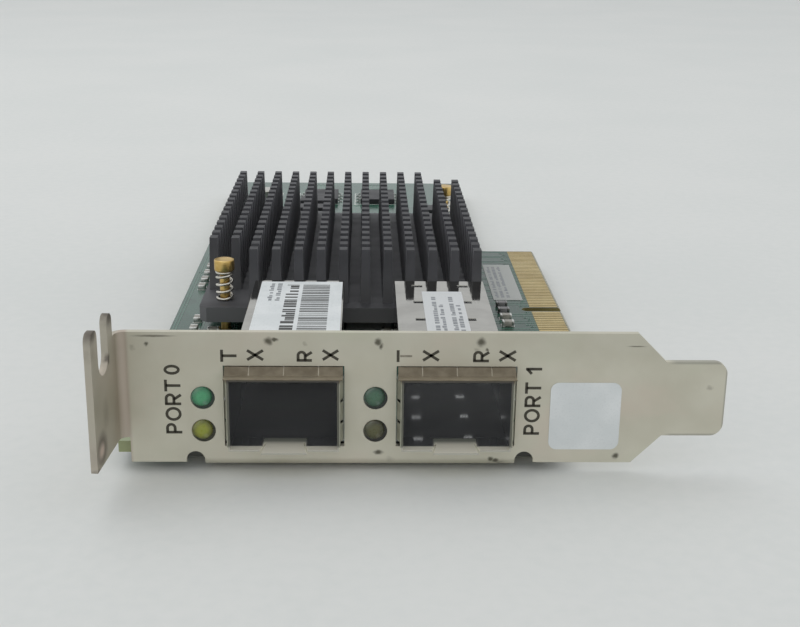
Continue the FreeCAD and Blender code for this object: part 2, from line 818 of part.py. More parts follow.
def finger_profile(seat, crest):
    """The side view of one bowed spring finger, as (along, out) corners."""
    return [
        ("-cage_reach", seat),
        ("-collar_rear", seat),
        ("0", f"{crest} - foil_thickness"),
        ("finger_crest", f"{crest} - foil_thickness"),
        ("finger_tail", seat),
        ("finger_tail", f"{seat} + foil_thickness"),
        ("finger_crest", crest),
        ("0", crest),
        ("-collar_rear", f"{seat} + foil_thickness"),
        ("-cage_reach", f"{seat} + foil_thickness"),
    ]


def make_collar(label, port):
    """A spring-finger collar round the front of a cage, open below."""
    body = new_body(label)
    half, outer = "(cage_width / 2)", "(cage_width / 2 + foil_thickness)"
    top = "cage_height + foil_thickness"
    band = sketch(body, f"{label}_section", "XZ_Plane", z="cage_reach")
    outline(band, [
        (f"-{outer}", "collar_bottom"),
        (f"-{half}", "collar_bottom"),
        (f"-{half}", "cage_height"),
        (half, "cage_height"),
        (half, "collar_bottom"),
        (outer, "collar_bottom"),
        (outer, top),
        (f"-{outer}", top),
    ])
    pad(body, f"{label}_band", band, "cage_reach - collar_rear", flip=True)
    crest = f"({PORT_TOP} - finger_clearance)"
    corner = "(port_width / 2 - finger_clearance)"
    divisions = (f"-{corner}", "-finger_division", "0", "finger_division", corner)
    for index in range(len(divisions) - 1):
        left = f"({divisions[index]} + finger_gap / 2)"
        right = f"({divisions[index + 1]} - finger_gap / 2)"
        side = sketch(body, f"{label}_top_{index}", "YZ_Plane", z=left)
        outline(side, finger_profile("cage_height", crest))
        pad(body, f"{label}_top_finger_{index}", side, f"{right} - {left}")
    for hand in SIDES:
        name = f"{label}_{SIDE_NAMES[hand]}"
        plan = sketch(body, f"{name}_plan", "XY_Plane", z="collar_bottom + finger_gap")
        corners = [(f"{hand}({out})", along) for along, out in finger_profile(half, corner)]
        outline(plan, corners)
        finger = pad(body, f"{name}_finger", plan, "side_finger_height")
        repeat(body, f"{name}_fingers", finger, plan, "N_Axis", "side_finger_pitch", "side_finger_count")
    place(body, f"{port}{PORT_MIDDLE}")
    keep(body, label)


def make_socket(label, contacts_label, port):
    """The module connector at the back of a cage, and its two rows of contacts."""
    body = new_body(label)
    section = sketch(body, f"{label}_section", "XZ_Plane", z="-socket_front")
    rectangle(section, "-socket_width / 2", "socket_width / 2", "0", "socket_height")
    pad(body, f"{label}_block", section, "socket_depth", flip=True)
    mouth = sketch(body, f"{label}_mouth", "XZ_Plane", z="-socket_front")
    slot_top = "(socket_slot_floor + socket_slot_height)"
    rectangle(mouth, "-socket_slot_width / 2", "socket_slot_width / 2", "socket_slot_floor", slot_top)
    pocket(body, f"{label}_slot", mouth, "socket_slot_depth")
    place(body, f"{port}{PORT_MIDDLE}")
    keep(body, label)
    pins = new_body(contacts_label, several=True)
    first = "-pin_pitch * (pin_count - 1) / 2 - pin_width / 2"
    for row, floor in (("lower", "socket_slot_floor"), ("upper", f"{slot_top} - pin_thickness")):
        face = sketch(pins, f"{contacts_label}_{row}", "XZ_Plane", z="-socket_front - pin_setback")
        rectangle(face, first, f"{first} + pin_width", floor, f"{floor} + pin_thickness")
        pin = pad(pins, f"{contacts_label}_{row}_pin", face, "pin_length", flip=True)
        repeat(pins, f"{contacts_label}_{row}_row", pin, face, "H_Axis", "pin_pitch", "pin_count")
    place(pins, f"{port}{PORT_MIDDLE}")
    keep(pins, contacts_label)


def make_lamps(index, port):
    """A two-high lamp holder behind the bracket, and its two lenses."""
    lamp_x = f"({port}{PORT_MIDDLE} - lamp_offset)"
    left = f"{lamp_x} - holder_width / 2"
    holder = f"lamp_holder_{index}"
    size = ("holder_width", "holder_depth", "holder_height")
    keep(block(holder, *size, left, "holder_front", "0"), holder)
    for row, height in (("lower", "lamp_low"), ("upper", "lamp_high")):
        label = f"lamp_{row}_{index}"
        lamp = new_body(label)
        face = sketch(lamp, f"{label}_section", "XZ_Plane", z="lamp_tip")
        circle(face, "0", height, "lamp_diameter / 2")
        pad(lamp, f"{label}_rod", face, "holder_front + lamp_tip", flip=True)
        place(lamp, lamp_x)
        keep(lamp, label)


def make_lamp_leads():
    """Square leads that come down from the lamp holders through the board."""
    leads = []
    tail = "(board_thickness + lead_tail)"
    y = f"{LEAD_Y} - lead_width / 2"
    for port in SIDES:
        for hand in SIDES:
            x = f"{port}{PORT_MIDDLE} - lamp_offset {hand} lead_spread / 2 - lead_width / 2"
            name = f"lead_{SIDE_NAMES[port]}_{SIDE_NAMES[hand]}"
            leads.append(block(name, "lead_width", "lead_width", tail, x, y, f"-{tail}"))
    group("lamp_leads", leads)


def make_heat_sink():
    """The heat sink: extruded fins on a base, cross-cut into pins, with two corners cleared."""
    body = new_body("heat_sink")
    base = sketch(body, "sink_base_outline", "XY_Plane", z="sink_floor")
    outline(base, [
        ("-sink_left + sink_corner", "sink_front"),
        ("sink_right", "sink_front"),
        ("sink_right", "sink_rear"),
        ("-sink_left", "sink_rear"),
        ("-sink_left", "sink_front + sink_corner"),
    ])
    for _, x, y in PIN_PLACES:
        circle(base, x, y, PIN_HOLE)
    pad(body, "sink_base_plate", base, "sink_base")
    section = sketch(body, "fin_section", "XZ_Plane", z="-fin_start")
    root, point = "fin_root / 2", "fin_point / 2"
    outline(section, [
        (f"-fin_first - {root}", SINK_TOP),
        (f"-fin_first + {root}", SINK_TOP),
        (f"-fin_first + {point}", "sink_tip"),
        (f"-fin_first - {point}", "sink_tip"),
    ])
    fin_length = "row_pitch * row_count - row_gap"
    fin = pad(body, "fin", section, fin_length, flip=True)
    repeat(body, "fins", fin, section, "H_Axis", "fin_pitch", "fin_count")
    clear_pin_corners(body)
    saw = sketch(body, "saw_cut", "YZ_Plane", z="-sink_left")
    cut_start = "fin_start + row_pitch - row_gap"
    rectangle(saw, cut_start, f"{cut_start} + row_gap", SINK_TOP, "sink_tip")
    cut = pocket(body, "cross_cut", saw, "sink_left + sink_right", flip=True)
    repeat(body, "cross_cuts", cut, saw, "H_Axis", "row_pitch", "row_count - 1")
    keep(body, "heat_sink")


def clear_pin_corners(body):
    """Take the fins away round the push pins, up to the middle of a gap on each side."""
    corners = sketch(body, "pin_corners", "XY_Plane", z="sink_tip")
    columns = "fin_pitch * pin_pocket_columns - fin_pitch / 2"
    rows = "row_pitch * pin_pocket_rows - row_gap / 2"
    last_fin = "fin_pitch * (fin_count - 1) - fin_first"
    fin_end = "fin_start + row_pitch * row_count - row_gap"
    front_left, front_right = "-fin_first - fin_root", f"-fin_first + {columns}"
    rear_left, rear_right = f"{last_fin} - ({columns})", f"{last_fin} + fin_root"
    rectangle(corners, front_left, front_right, "sink_front", f"fin_start + {rows}")
    rectangle(corners, rear_left, rear_right, f"{fin_end} - ({rows})", "sink_rear")
    pocket(body, "pin_corner_clearance", corners, f"sink_tip - {SINK_TOP}")


def make_push_pin(label, x, y):
    """A brass push pin with a collar that catches under the board."""
    body = new_body(label)
    half = sketch(body, f"{label}_profile", "XZ_Plane")
    shank, collar, head = "pin_shank_diameter / 2", "pin_collar_diameter / 2", "pin_head_diameter / 2"
    head_top = f"{HEAD_FLOOR} + pin_head_height"
    outline(half, [
        ("0", FLANGE_OUTER),
        (collar, FLANGE_OUTER),
        (collar, "-board_thickness"),
        (shank, "-board_thickness"),
        (shank, HEAD_FLOOR),
        (head, HEAD_FLOOR),
        (head, head_top),
        ("0", head_top),
    ])
    revolve(body, f"{label}_turned", half, "V_Axis")
    place(body, x, y)
    keep(body, label)


def make_pin_spring(label, x, y):
    """The coil spring below a push pin's head, as short straight lengths of six-sided wire."""
    coil_radius = "(spring_diameter - spring_wire) / 2"
    steps = number("spring_turns * spring_facets")
    rise = number("spring_length - spring_wire") / steps

    def on_coil(step):
        turn = math.radians(FULL_TURN * step / number("spring_facets"))
        flat = FreeCAD.Vector(math.cos(turn), math.sin(turn), 0) * number(coil_radius)
        return flat + FreeCAD.Vector(0, 0, rise * step)

    coil = DOC.addObject("Part::Feature", f"{label}_coil")
    coil.Shape = Part.makePolygon([on_coil(step) for step in range(int(steps) + 1)])
    wire = DOC.addObject("Part::RegularPolygon", f"{label}_wire")
    bind(wire, "Circumradius", "spring_wire / 2")
    wire.Placement.Rotation = FreeCAD.Rotation(FreeCAD.Vector(1, 0, 0), QUARTER_TURN)
    place(wire, coil_radius)
    spring = DOC.addObject("Part::Sweep", label)
    spring.Sections = [wire]
    spring.Spine = (coil, [])
    spring.Solid = True
    spring.Transition = "Right corner"
    place(spring, x, y, f"{SINK_TOP} + spring_wire / 2")
    DOC.recompute()
    keep(spring, label)


def make_controller():
    """The controller chip under the sink: substrate, metal lid and thermal pad."""
    def layer(label, side, height, z):
        low_x, low_y = f"chip_x - {side} / 2", f"chip_y - {side} / 2"
        keep(block(label, side, side, height, low_x, low_y, z), label)
    lid_top = "(sink_floor - pad_thickness)"
    layer("controller_substrate", "substrate_side", "substrate_thickness", "0")
    layer("controller_lid", "lid_side", f"{lid_top} - substrate_thickness", "substrate_thickness")
    layer("thermal_pad", "pad_side", "pad_thickness", lid_top)


def gull_leads(name, x, y, sign, pitch, count):
    """One row of gull-wing leads that leave a chip's side along X, as one body of separate solids."""
    body = new_body(name, several=True)
    first = f"{y} - {pitch} * ({count} - 1) / 2 - gull_width / 2"
    side = sketch(body, f"{name}_side", "XZ_Plane", z=f"-({first})")
    low, high = "gull_rise - gull_thickness / 2", "gull_rise + gull_thickness / 2"
    knee = "gull_reach - gull_foot"
    path = [
        ("0", low),
        (f"{knee} - gull_thickness", low),
        (f"{knee} - gull_thickness", "0"),
        ("gull_reach", "0"),
        ("gull_reach", "gull_thickness"),
        (knee, "gull_thickness"),
        (knee, high),
        ("0", high),
    ]
    outline(side, [(f"{x} {sign} ({out})", up) for out, up in path])
    lead = pad(body, f"{name}_lead", side, "gull_width", flip=True)
    plan = sketch(body, f"{name}_plan", "XY_Plane")
    repeat(body, f"{name}_row", lead, plan, "V_Axis", pitch, count)
    return body


def leaded_chip(name, size, x, y, pitch, count):
    """A chip about its middle, with a row of leads along each long side."""
    width, depth, height = size
    body = block(name, width, depth, height, f"{x} - {width} / 2", f"{y} - {depth} / 2", "0")
    rows = []
    for side in SIDES:
        edge = f"{x} {side} {width} / 2"
        rows.append(gull_leads(f"{name}_{SIDE_NAMES[side]}_leads", edge, y, side, pitch, count))
    return body, rows


def make_memory_chips():
    """Two memory chips behind the sink, with their leads."""
    bodies, leads = [], []
    size = ("memory_width", "memory_depth", "memory_height")
    for side in SIDES:
        x = f"(memory_x {side} memory_spread / 2)"
        name = f"memory_{SIDE_NAMES[side]}"
        body, rows = leaded_chip(name, size, x, "memory_y", "memory_lead_pitch", "memory_lead_count")
        bodies.append(body)
        leads.extend(rows)
    group("memory_chips", bodies)
    group("memory_chip_leads", leads)


def make_regulators():
    """A column of regulator chips beside the rear edge, with their leads."""
    bodies, leads = [], []
    size = ("regulator_width", "regulator_depth", "regulator_height")
    row = ("regulator_lead_pitch", "regulator_lead_count")
    for index in range(int(number("regulator_count"))):
        y = f"(regulator_y + regulator_pitch * {index})"
        body, rows = leaded_chip(f"regulator_{index}", size, "regulator_x", y, *row)
        bodies.append(body)
        leads.extend(rows)
    group("regulator_chips", bodies)
    group("regulator_leads", leads)


def make_supply_parts():
    """Power inductors, bulk capacitors and the clock oscillator."""
    inductors = []
    for index in range(int(number("inductor_count"))):
        body = new_body(f"inductor_{index}")
        plan = sketch(body, f"inductor_{index}_plan", "XY_Plane")
        half = "inductor_side / 2"
        rectangle(plan, f"-{half}", half, f"-{half}", half)
        core = pad(body, f"inductor_{index}_core", plan, "inductor_height")
        bevel(body, f"inductor_{index}_corners", core, upright_edges(core), "inductor_corner")
        place(body, "inductor_x", f"inductor_y + inductor_pitch * {index}")
        inductors.append(body)
    group("power_inductors", inductors)
    bulks = []
    for index in range(int(number("bulk_count"))):
        low_x = "bulk_x - bulk_width / 2"
        low_y = f"bulk_y + bulk_pitch * {index} - bulk_depth / 2"
        bulks.append(block(f"bulk_{index}", "bulk_width", "bulk_depth", "bulk_height", low_x, low_y, "0"))
    group("bulk_capacitors", bulks)
    clock = new_body("clock_oscillator")
    plan = sketch(clock, "clock_plan", "XY_Plane")
    wide, deep = "clock_width / 2", "clock_depth / 2"
    rectangle(plan, f"-{wide}", wide, f"-{deep}", deep)
    can = pad(clock, "clock_can", plan, "clock_height")
    bevel(clock, "clock_corners", can, upright_edges(can), "clock_corner")
    place(clock, "clock_x", "clock_y")
    keep(clock, "clock_oscillator")


def chip_capacitor(name, x, y, z, along_y):
    """A chip capacitor about its middle: the ceramic body, and its two metal end caps."""
    def slice_of(suffix, offset, length):
        """One length of the chip, by how far along the chip it starts."""
        start, side = f"({offset} - chip_length / 2)", "chip_width / 2"
        spot = (f"{x} - {side}", f"{y} + {start}") if along_y else (f"{x} + {start}", f"{y} - {side}")
        size = ("chip_width", length) if along_y else (length, "chip_width")
        return block(name + suffix, *size, "chip_height", *spot, z)
    body = slice_of("", "chip_cap", "chip_length - 2 * chip_cap")
    caps = [slice_of("_near", "0", "chip_cap"), slice_of("_far", "chip_length - chip_cap", "chip_cap")]
    return body, caps


def component_side_places():
    """Middles of the component-side capacitors, with whether each lies along Y."""
    places = []
    for index in range(int(number("margin_count"))):
        places.append(("-margin_column", f"margin_first + margin_pitch * {index}", True))
    for index in range(int(number("corner_count"))):
        places.append(("-corner_column", f"corner_first + corner_pitch * {index}", True))
    for index in range(int(number("sink_row_count"))):
        places.append((f"-sink_row_first + sink_row_pitch * {index}", "sink_row_y", False))
    for index in range(int(number("edge_count"))):
        places.append(("edge_column", f"edge_first + edge_pitch * {index}", False))
    return places


def solder_side_places():
    """Middles of the decoupling capacitors under the controller."""
    places = []
    for row in range(int(number("under_row_count"))):
        for index in range(int(number("under_count"))):
            x = f"-under_first + under_pitch * {index}"
            places.append((x, f"under_row_first + under_row_pitch * {row}", True))
    return places


def make_chip_capacitors():
    """Chip capacitors of both sides of the board, bodies and end caps apart."""
    sides = (
        ("component", component_side_places(), "0"),
        ("solder", solder_side_places(), "-board_thickness - chip_height"),
    )
    for side, places, level in sides:
        bodies, caps = [], []
        for index, (x, y, along_y) in enumerate(places):
            body, ends = chip_capacitor(f"{side}_chip_{index}", x, y, level, along_y)
            bodies.append(body)
            caps.extend(ends)
        group(f"{side}_side_capacitors", bodies)
        group(f"{side}_side_end_caps", caps)


def flat_label(label, name, left, level):
    """A thin flat label whose sizes start with a name, such as wide_label_width."""
    width, front = f"{name}_width", f"{name}_front"
    depth = f"{name}_rear - {front}"
    keep(block(label, width, depth, "label_thickness", left, front, level), label)


def make_labels():
    """Labels on the cages and the board, and the sticker on the bracket."""
    flat_label("cage_label_0", "wide_label", "-wide_label_left", "cage_height")
    flat_label("cage_label_1", "slim_label", "slim_label_left", "cage_height")
    flat_label("board_label", "board_label", "board_label_left", "0")
    body = new_body("bracket_sticker")
    face = sketch(body, "sticker_outline", "XZ_Plane")
    right, top = "sticker_left + sticker_width", "sticker_bottom + sticker_height"
    rectangle(face, "sticker_left", right, "sticker_bottom", top, "sticker_corner")
    pad(body, "sticker_film", face, "label_thickness")
    keep(body, "bracket_sticker")


def check_document():
    """Stop if any object failed to compute or any sub-part isn't a valid solid."""
    for item in DOC.Objects:
        if "Invalid" in item.State or "Error" in item.State:
            raise RuntimeError(f"{item.Label} failed: {item.State}")
    for item in SUB_PARTS:
        if item.Shape.isNull() or not item.Shape.isValid() or not item.Shape.Solids:
            raise RuntimeError(f"{item.Label} has no valid solid")


def export_parts():
    """Write one file for each sub-part."""
    os.makedirs("parts", exist_ok=True)
    for item in SUB_PARTS:
        item.Shape.exportStep(f"parts/{item.Label}.step")


fill_sheet()
make_circuit_board()
make_edge_contacts("edge_contacts_component_side", top=True)
make_edge_contacts("edge_contacts_solder_side", top=False)
make_bracket()
make_bracket_screws()
for port_index, port_side in enumerate(SIDES):
    make_cage(f"module_cage_{port_index}", port_side)
    make_collar(f"spring_collar_{port_index}", port_side)
    make_socket(f"module_connector_{port_index}", f"connector_contacts_{port_index}", port_side)
    make_lamps(port_index, port_side)
make_lamp_leads()
make_heat_sink()
make_controller()
for pin_name, pin_x, pin_y in PIN_PLACES:
    make_push_pin(f"push_pin_{pin_name}", pin_x, pin_y)
    make_pin_spring(f"pin_spring_{pin_name}", pin_x, pin_y)
make_memory_chips()
make_regulators()
make_supply_parts()
make_chip_capacitors()
make_labels()
DOC.recompute()
check_document()
export_parts()
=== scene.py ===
"""Looks of a low-profile host adapter card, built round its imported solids.

Lengths are millimetres of the part's own frame until they reach a mesh: X along the bracket from tab to
tongue, Y from the bracket's outer face to the rear, Z away from the board's component face.
"""

import json
import math
import random

import bmesh
import bpy
from mathutils import Matrix, Vector


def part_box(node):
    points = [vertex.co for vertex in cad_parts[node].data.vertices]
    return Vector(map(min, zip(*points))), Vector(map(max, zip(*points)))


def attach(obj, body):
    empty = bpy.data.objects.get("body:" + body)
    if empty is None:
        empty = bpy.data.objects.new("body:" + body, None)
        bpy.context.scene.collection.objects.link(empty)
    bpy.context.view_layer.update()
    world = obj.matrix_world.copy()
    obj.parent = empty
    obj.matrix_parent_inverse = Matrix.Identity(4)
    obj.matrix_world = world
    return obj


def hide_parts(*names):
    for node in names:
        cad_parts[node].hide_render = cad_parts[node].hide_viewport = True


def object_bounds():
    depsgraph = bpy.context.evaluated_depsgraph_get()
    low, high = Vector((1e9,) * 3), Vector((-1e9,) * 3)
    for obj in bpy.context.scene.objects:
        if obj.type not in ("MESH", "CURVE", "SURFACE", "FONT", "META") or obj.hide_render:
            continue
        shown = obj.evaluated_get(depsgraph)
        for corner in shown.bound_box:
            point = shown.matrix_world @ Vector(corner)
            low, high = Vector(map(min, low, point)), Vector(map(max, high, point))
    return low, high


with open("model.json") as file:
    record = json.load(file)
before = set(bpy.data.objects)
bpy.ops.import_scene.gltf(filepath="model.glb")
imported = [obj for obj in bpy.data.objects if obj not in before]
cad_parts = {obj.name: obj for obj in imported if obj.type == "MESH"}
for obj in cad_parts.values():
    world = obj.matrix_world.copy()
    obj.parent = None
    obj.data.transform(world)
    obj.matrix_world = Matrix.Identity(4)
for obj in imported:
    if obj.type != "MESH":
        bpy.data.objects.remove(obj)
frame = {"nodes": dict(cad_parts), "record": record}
CAD_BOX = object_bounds()

MM = 0.001
# How near two corners are joined, and the angles between faces up to which they count as one plane,
# from which their edge is rounded and up to which they are shaded smoothly
WELD = 0.002 * MM
FLAT = math.radians(0.5)
SHARP = math.radians(35)
SMOOTH = math.radians(40)
DICE = random.Random(41)
SLOT_OF = {row["node"]: row["material_slot"] for row in frame["record"]["subparts"]}

X, Y, Z = Vector((1, 0, 0)), Vector((0, 1, 0)), Vector((0, 0, 1))

# Thickness of ink, copper under the mask, the rings round vias, and bare pads
INK = 0.012
COPPER = 0.03
VIA_RING = COPPER * 1.4
PAD = 0.04
# Line width of the bracket's letters and the board's outlines
PEN = 0.37
OUTLINE = 0.16
# Pitch and width of the board's tracks, width of those to the contacts, and how far pads reach out
LANE_PITCH, LANE_WIDTH = 0.5, 0.2
CONTACT_TRACK = 0.24
PAD_MARGIN = 0.12
# Thickness of the cages' sheet, and how far back their board pins stand
CAGE_SHEET = 0.25
CAGE_PIN_ROWS = (8.0, 23.6, 39.2)

# Radius of the lamps' lenses, and how far the middles of their holes lie from theirs
LENS_RADIUS = 1.3
LAMP_HOLE_SHIFT = Vector((0.09, 0, -0.19))

# How far to the left the tab's bend lies, where the tongue begins and ends, its middle and half height
BEND_MIDDLE = 31.5
TONGUE_START, TONGUE_END = 38.1, 46.1
TONGUE_MIDDLE, TONGUE_HALF = 6.5, 5.1

# Dirt, faint marks and dark lines near the top edge on the bracket, as (x, y, z, half width, half height)
PLATE_DIRT = [
    (-28.43, 0, 13.81, 0.42, 0.45),
    (-13.02, 0, 14.27, 0.8, 0.75),
    (-12.2, 0, 14.45, 0.7, 0.35),
    (0.92, 0, 14.2, 0.6, 0.7),
    (1.3, 0, 13.6, 0.4, 0.7),
    (14.1, 0, 14.2, 0.8, 0.85),
    (14.85, 0, 13.2, 0.35, 0.4),
    (1.04, 0, -1.03, 0.85, 0.45),
    (15.8, 0, -1.95, 0.6, 0.5),
    (16.45, 0, -2.15, 0.65, 0.5),
    (17.0, 0, -2.7, 0.6, 0.5),
    (32.23, 0, -1.53, 0.62, 0.6),
]
FAINT_MARKS = [
    (-30.2, 0, 13.4, 0.5, 0.5),
    (-8.3, 0, 13.9, 0.4, 0.45),
    (13.6, 0, 13.2, 0.5, 0.5),
    (43.98, 0, 8.07, 0.6, 0.6),
    (2.6, 0, -2.0, 0.8, 0.6),
    (16.9, 0, -2.5, 1.5, 0.7),
    (-33.4, -10.6, 16.2, 1.4, 1.6),
    (-33.2, -6.4, 7.0, 1.8, 3.0),
]
DARK_LINES = [
    (-27.5, 0, 14.9, 3.6, 0.22),
    (34.1, 0, 13.72, 1.6, 0.14),
]
# Painted shade on the tab's lobes, tarnish beside its slot and at its foot, and the pale rubbed spot there
STAINS_AND_LOBE_SHADE = [
    (-32.3, -2.6, 18.9, 2.4, 2.6),
    (-32.9, -10.4, 18.9, 2.4, 2.2),
    (-32.5, -4.0, 13.2, 0.8, 1.0),
    (-32.8, -8.9, 3.2, 3.0, 2.9),
    (-33.0, -10.9, 0.4, 1.6, 1.4),
]
RUBBED = [(-32.8, -9.1, 3.1, 1.9, 1.5)]


def box_mm(node):
    """The lowest and highest corner of a CAD node."""
    low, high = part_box(node)
    return low / MM, high / MM


def srgb(red, green, blue):
    """A screen colour of 0 to 255 in linear light."""
    def linear(value):
        share = value / 255
        return share / 12.92 if share <= 0.04045 else ((share + 0.055) / 1.055) ** 2.4
    return (linear(red), linear(green), linear(blue), 1.0)


class Finish:
    """A procedural material whose patterns are sized in millimetres of the part's frame."""

    def __init__(self, name, metallic=0.0, **sockets):
        self.material = bpy.data.materials.new(name)
        self.material.use_nodes = True
        self.tree = self.material.node_tree
        self.shader = self.tree.nodes["Principled BSDF"]
        self.shader.inputs["Metallic"].default_value = metallic
        for socket, value in sockets.items():
            self.shader.inputs[socket.replace("_", " ")].default_value = value
        self.coordinates = self.tree.nodes.new("ShaderNodeTexCoord")
        self.place = self.vector("MULTIPLY", self.coordinates.outputs["Object"], (1 / MM,) * 3)

    def join(self, value, socket):
        """Feed a socket from another node, or set it to a plain value."""
        if isinstance(value, bpy.types.NodeSocket):
            self.tree.links.new(value, socket)
        else:
            socket.default_value = value

    def vector(self, operation, first, second):
        """A vector sum, product or distance."""
        node = self.tree.nodes.new("ShaderNodeVectorMath")
        node.operation = operation
        self.join(first, node.inputs[0])
        self.join(second, node.inputs[1])
        return node.outputs["Value" if operation == "DISTANCE" else "Vector"]

    def math(self, operation, first, second=0.0):
        """A sum, difference or the like of two numbers."""
        node = self.tree.nodes.new("ShaderNodeMath")
        node.operation = operation
        self.join(first, node.inputs[0])
        self.join(second, node.inputs[1])
        return node.outputs[0]

    def times(self, first, second):
        """The product of two numbers, such as what two masks share."""
        return self.math("MULTIPLY", first, second)

    def most(self, first, second):
        """The larger of two numbers, such as two masks together."""
        return self.math("MAXIMUM", first, second)

    def noise(self, size, detail=3.0, stretch=(1, 1, 1), output=0):
        """Cloudy pattern from 0 to 1 whose lumps are about as large as size."""
        node = self.tree.nodes.new("ShaderNodeTexNoise")
        squeeze = tuple(1 / (size * share) for share in stretch)
        self.join(self.vector("MULTIPLY", self.place, squeeze), node.inputs["Vector"])
        node.inputs["Scale"].default_value = 1.0
        node.inputs["Detail"].default_value = detail
        return node.outputs[output]

    def span(self, value, low, high, start=0.0, end=1.0):
        """Ease low..high of a value to start..end, and hold it there outside."""
        node = self.tree.nodes.new("ShaderNodeMapRange")
        node.interpolation_type = "SMOOTHSTEP"
        for socket, amount in zip(node.inputs, (value, low, high, start, end)):
            self.join(amount, socket)
        return node.outputs[0]

    def blend(self, factor, first, second):
        """A colour between two others, each from a node or a screen colour of 0 to 255."""
        node = self.tree.nodes.new("ShaderNodeMix")
        node.data_type = "RGBA"
        self.join(factor, node.inputs[0])
        colour_sockets = [socket for socket in node.inputs if socket.type == "RGBA"]
        for colour, socket in zip((first, second), colour_sockets):
            self.join(colour if isinstance(colour, bpy.types.NodeSocket) else srgb(*colour), socket)
        return [socket for socket in node.outputs if socket.type == "RGBA"][0]

    def axis(self, vector, letter):
        """One component of a vector."""
        node = self.tree.nodes.new("ShaderNodeSeparateXYZ")
        self.join(vector, node.inputs[0])
        return node.outputs["XYZ".index(letter)]

    def at(self, letter):
        """The place along an axis, in millimetres."""
        return self.axis(self.place, letter)

    def facing(self, letter):
        """How squarely the surface faces along an axis, either way."""
        return self.math("ABSOLUTE", self.axis(self.coordinates.outputs["Normal"], letter))

    def corners(self):
        """Mask of outer edges."""
        node = self.tree.nodes.new("ShaderNodeNewGeometry")
        return self.span(node.outputs["Pointiness"], 0.51, 0.6)

    def stains(self, spots, ragged):
        """Mask of soft ragged spots, each an (x, y, z, half width, half height)."""
        wander = self.noise(0.8, output="Color")
        swing = self.vector("MULTIPLY", self.vector("SUBTRACT", wander, (0.5,) * 3), (ragged,) * 3)
        here = self.vector("ADD", self.place, swing)
        mask = 0.0
        for x, y, z, wide, high in spots:
            shrink = Vector((1 / wide, 1 / wide, 1 / high))
            gap = self.vector("DISTANCE", self.vector("MULTIPLY", here, shrink), Vector((x, y, z)) * shrink)
            mask = self.most(self.span(gap, 1.0, 0.2), mask)
        return mask

    def feed(self, name, value):
        """Let one input of the shader follow a pattern."""
        self.join(value, self.shader.inputs[name])
        return self

    def colour(self, value):
        """Set the base colour."""
        return self.feed("Base Color", value)

    def rough(self, pattern, low, high):
        """Let the roughness follow a pattern."""
        return self.feed("Roughness", self.span(pattern, 0.25, 0.75, low, high))

    def bump(self, pattern, depth):
        """Raise the surface by a pattern, depth millimetres from low to high."""
        node = self.tree.nodes.new("ShaderNodeBump")
        node.inputs["Distance"].default_value = depth * MM
        self.join(pattern, node.inputs["Height"])
        return self.feed("Normal", node.outputs[0])


def plated(name, dark, light, roughness, patch=5.0, stretch=(1, 1, 1)):
    """Bare or plated metal with cloudy tarnish, fine grain and uneven gloss."""
    finish = Finish(name, metallic=1.0)
    cloud = finish.noise(patch, detail=5.0)
    fine = finish.noise(0.25, detail=2.0, stretch=stretch)
    mixed = finish.math("ADD", finish.times(cloud, 0.7), finish.times(fine, 0.3))
    finish.colour(finish.blend(finish.span(mixed, 0.32, 0.68), dark, light))
    finish.rough(fine, *roughness)
    return finish.bump(fine, 0.004)


def moulded(name, dark, light, roughness, patch=3.0, grain=0.12, depth=0.006):
    """Moulded, pressed, fired or printed stuff with faint mottling and a fine-grained skin."""
    finish = Finish(name)
    cloud = finish.noise(patch, detail=4.0)
    fine = finish.noise(grain, detail=2.0)
    mixed = finish.math("ADD", finish.times(cloud, 0.6), finish.times(fine, 0.4))
    finish.colour(finish.blend(finish.span(mixed, 0.32, 0.68), dark, light))
    finish.rough(cloud, *roughness)
    return finish.bump(fine, depth)


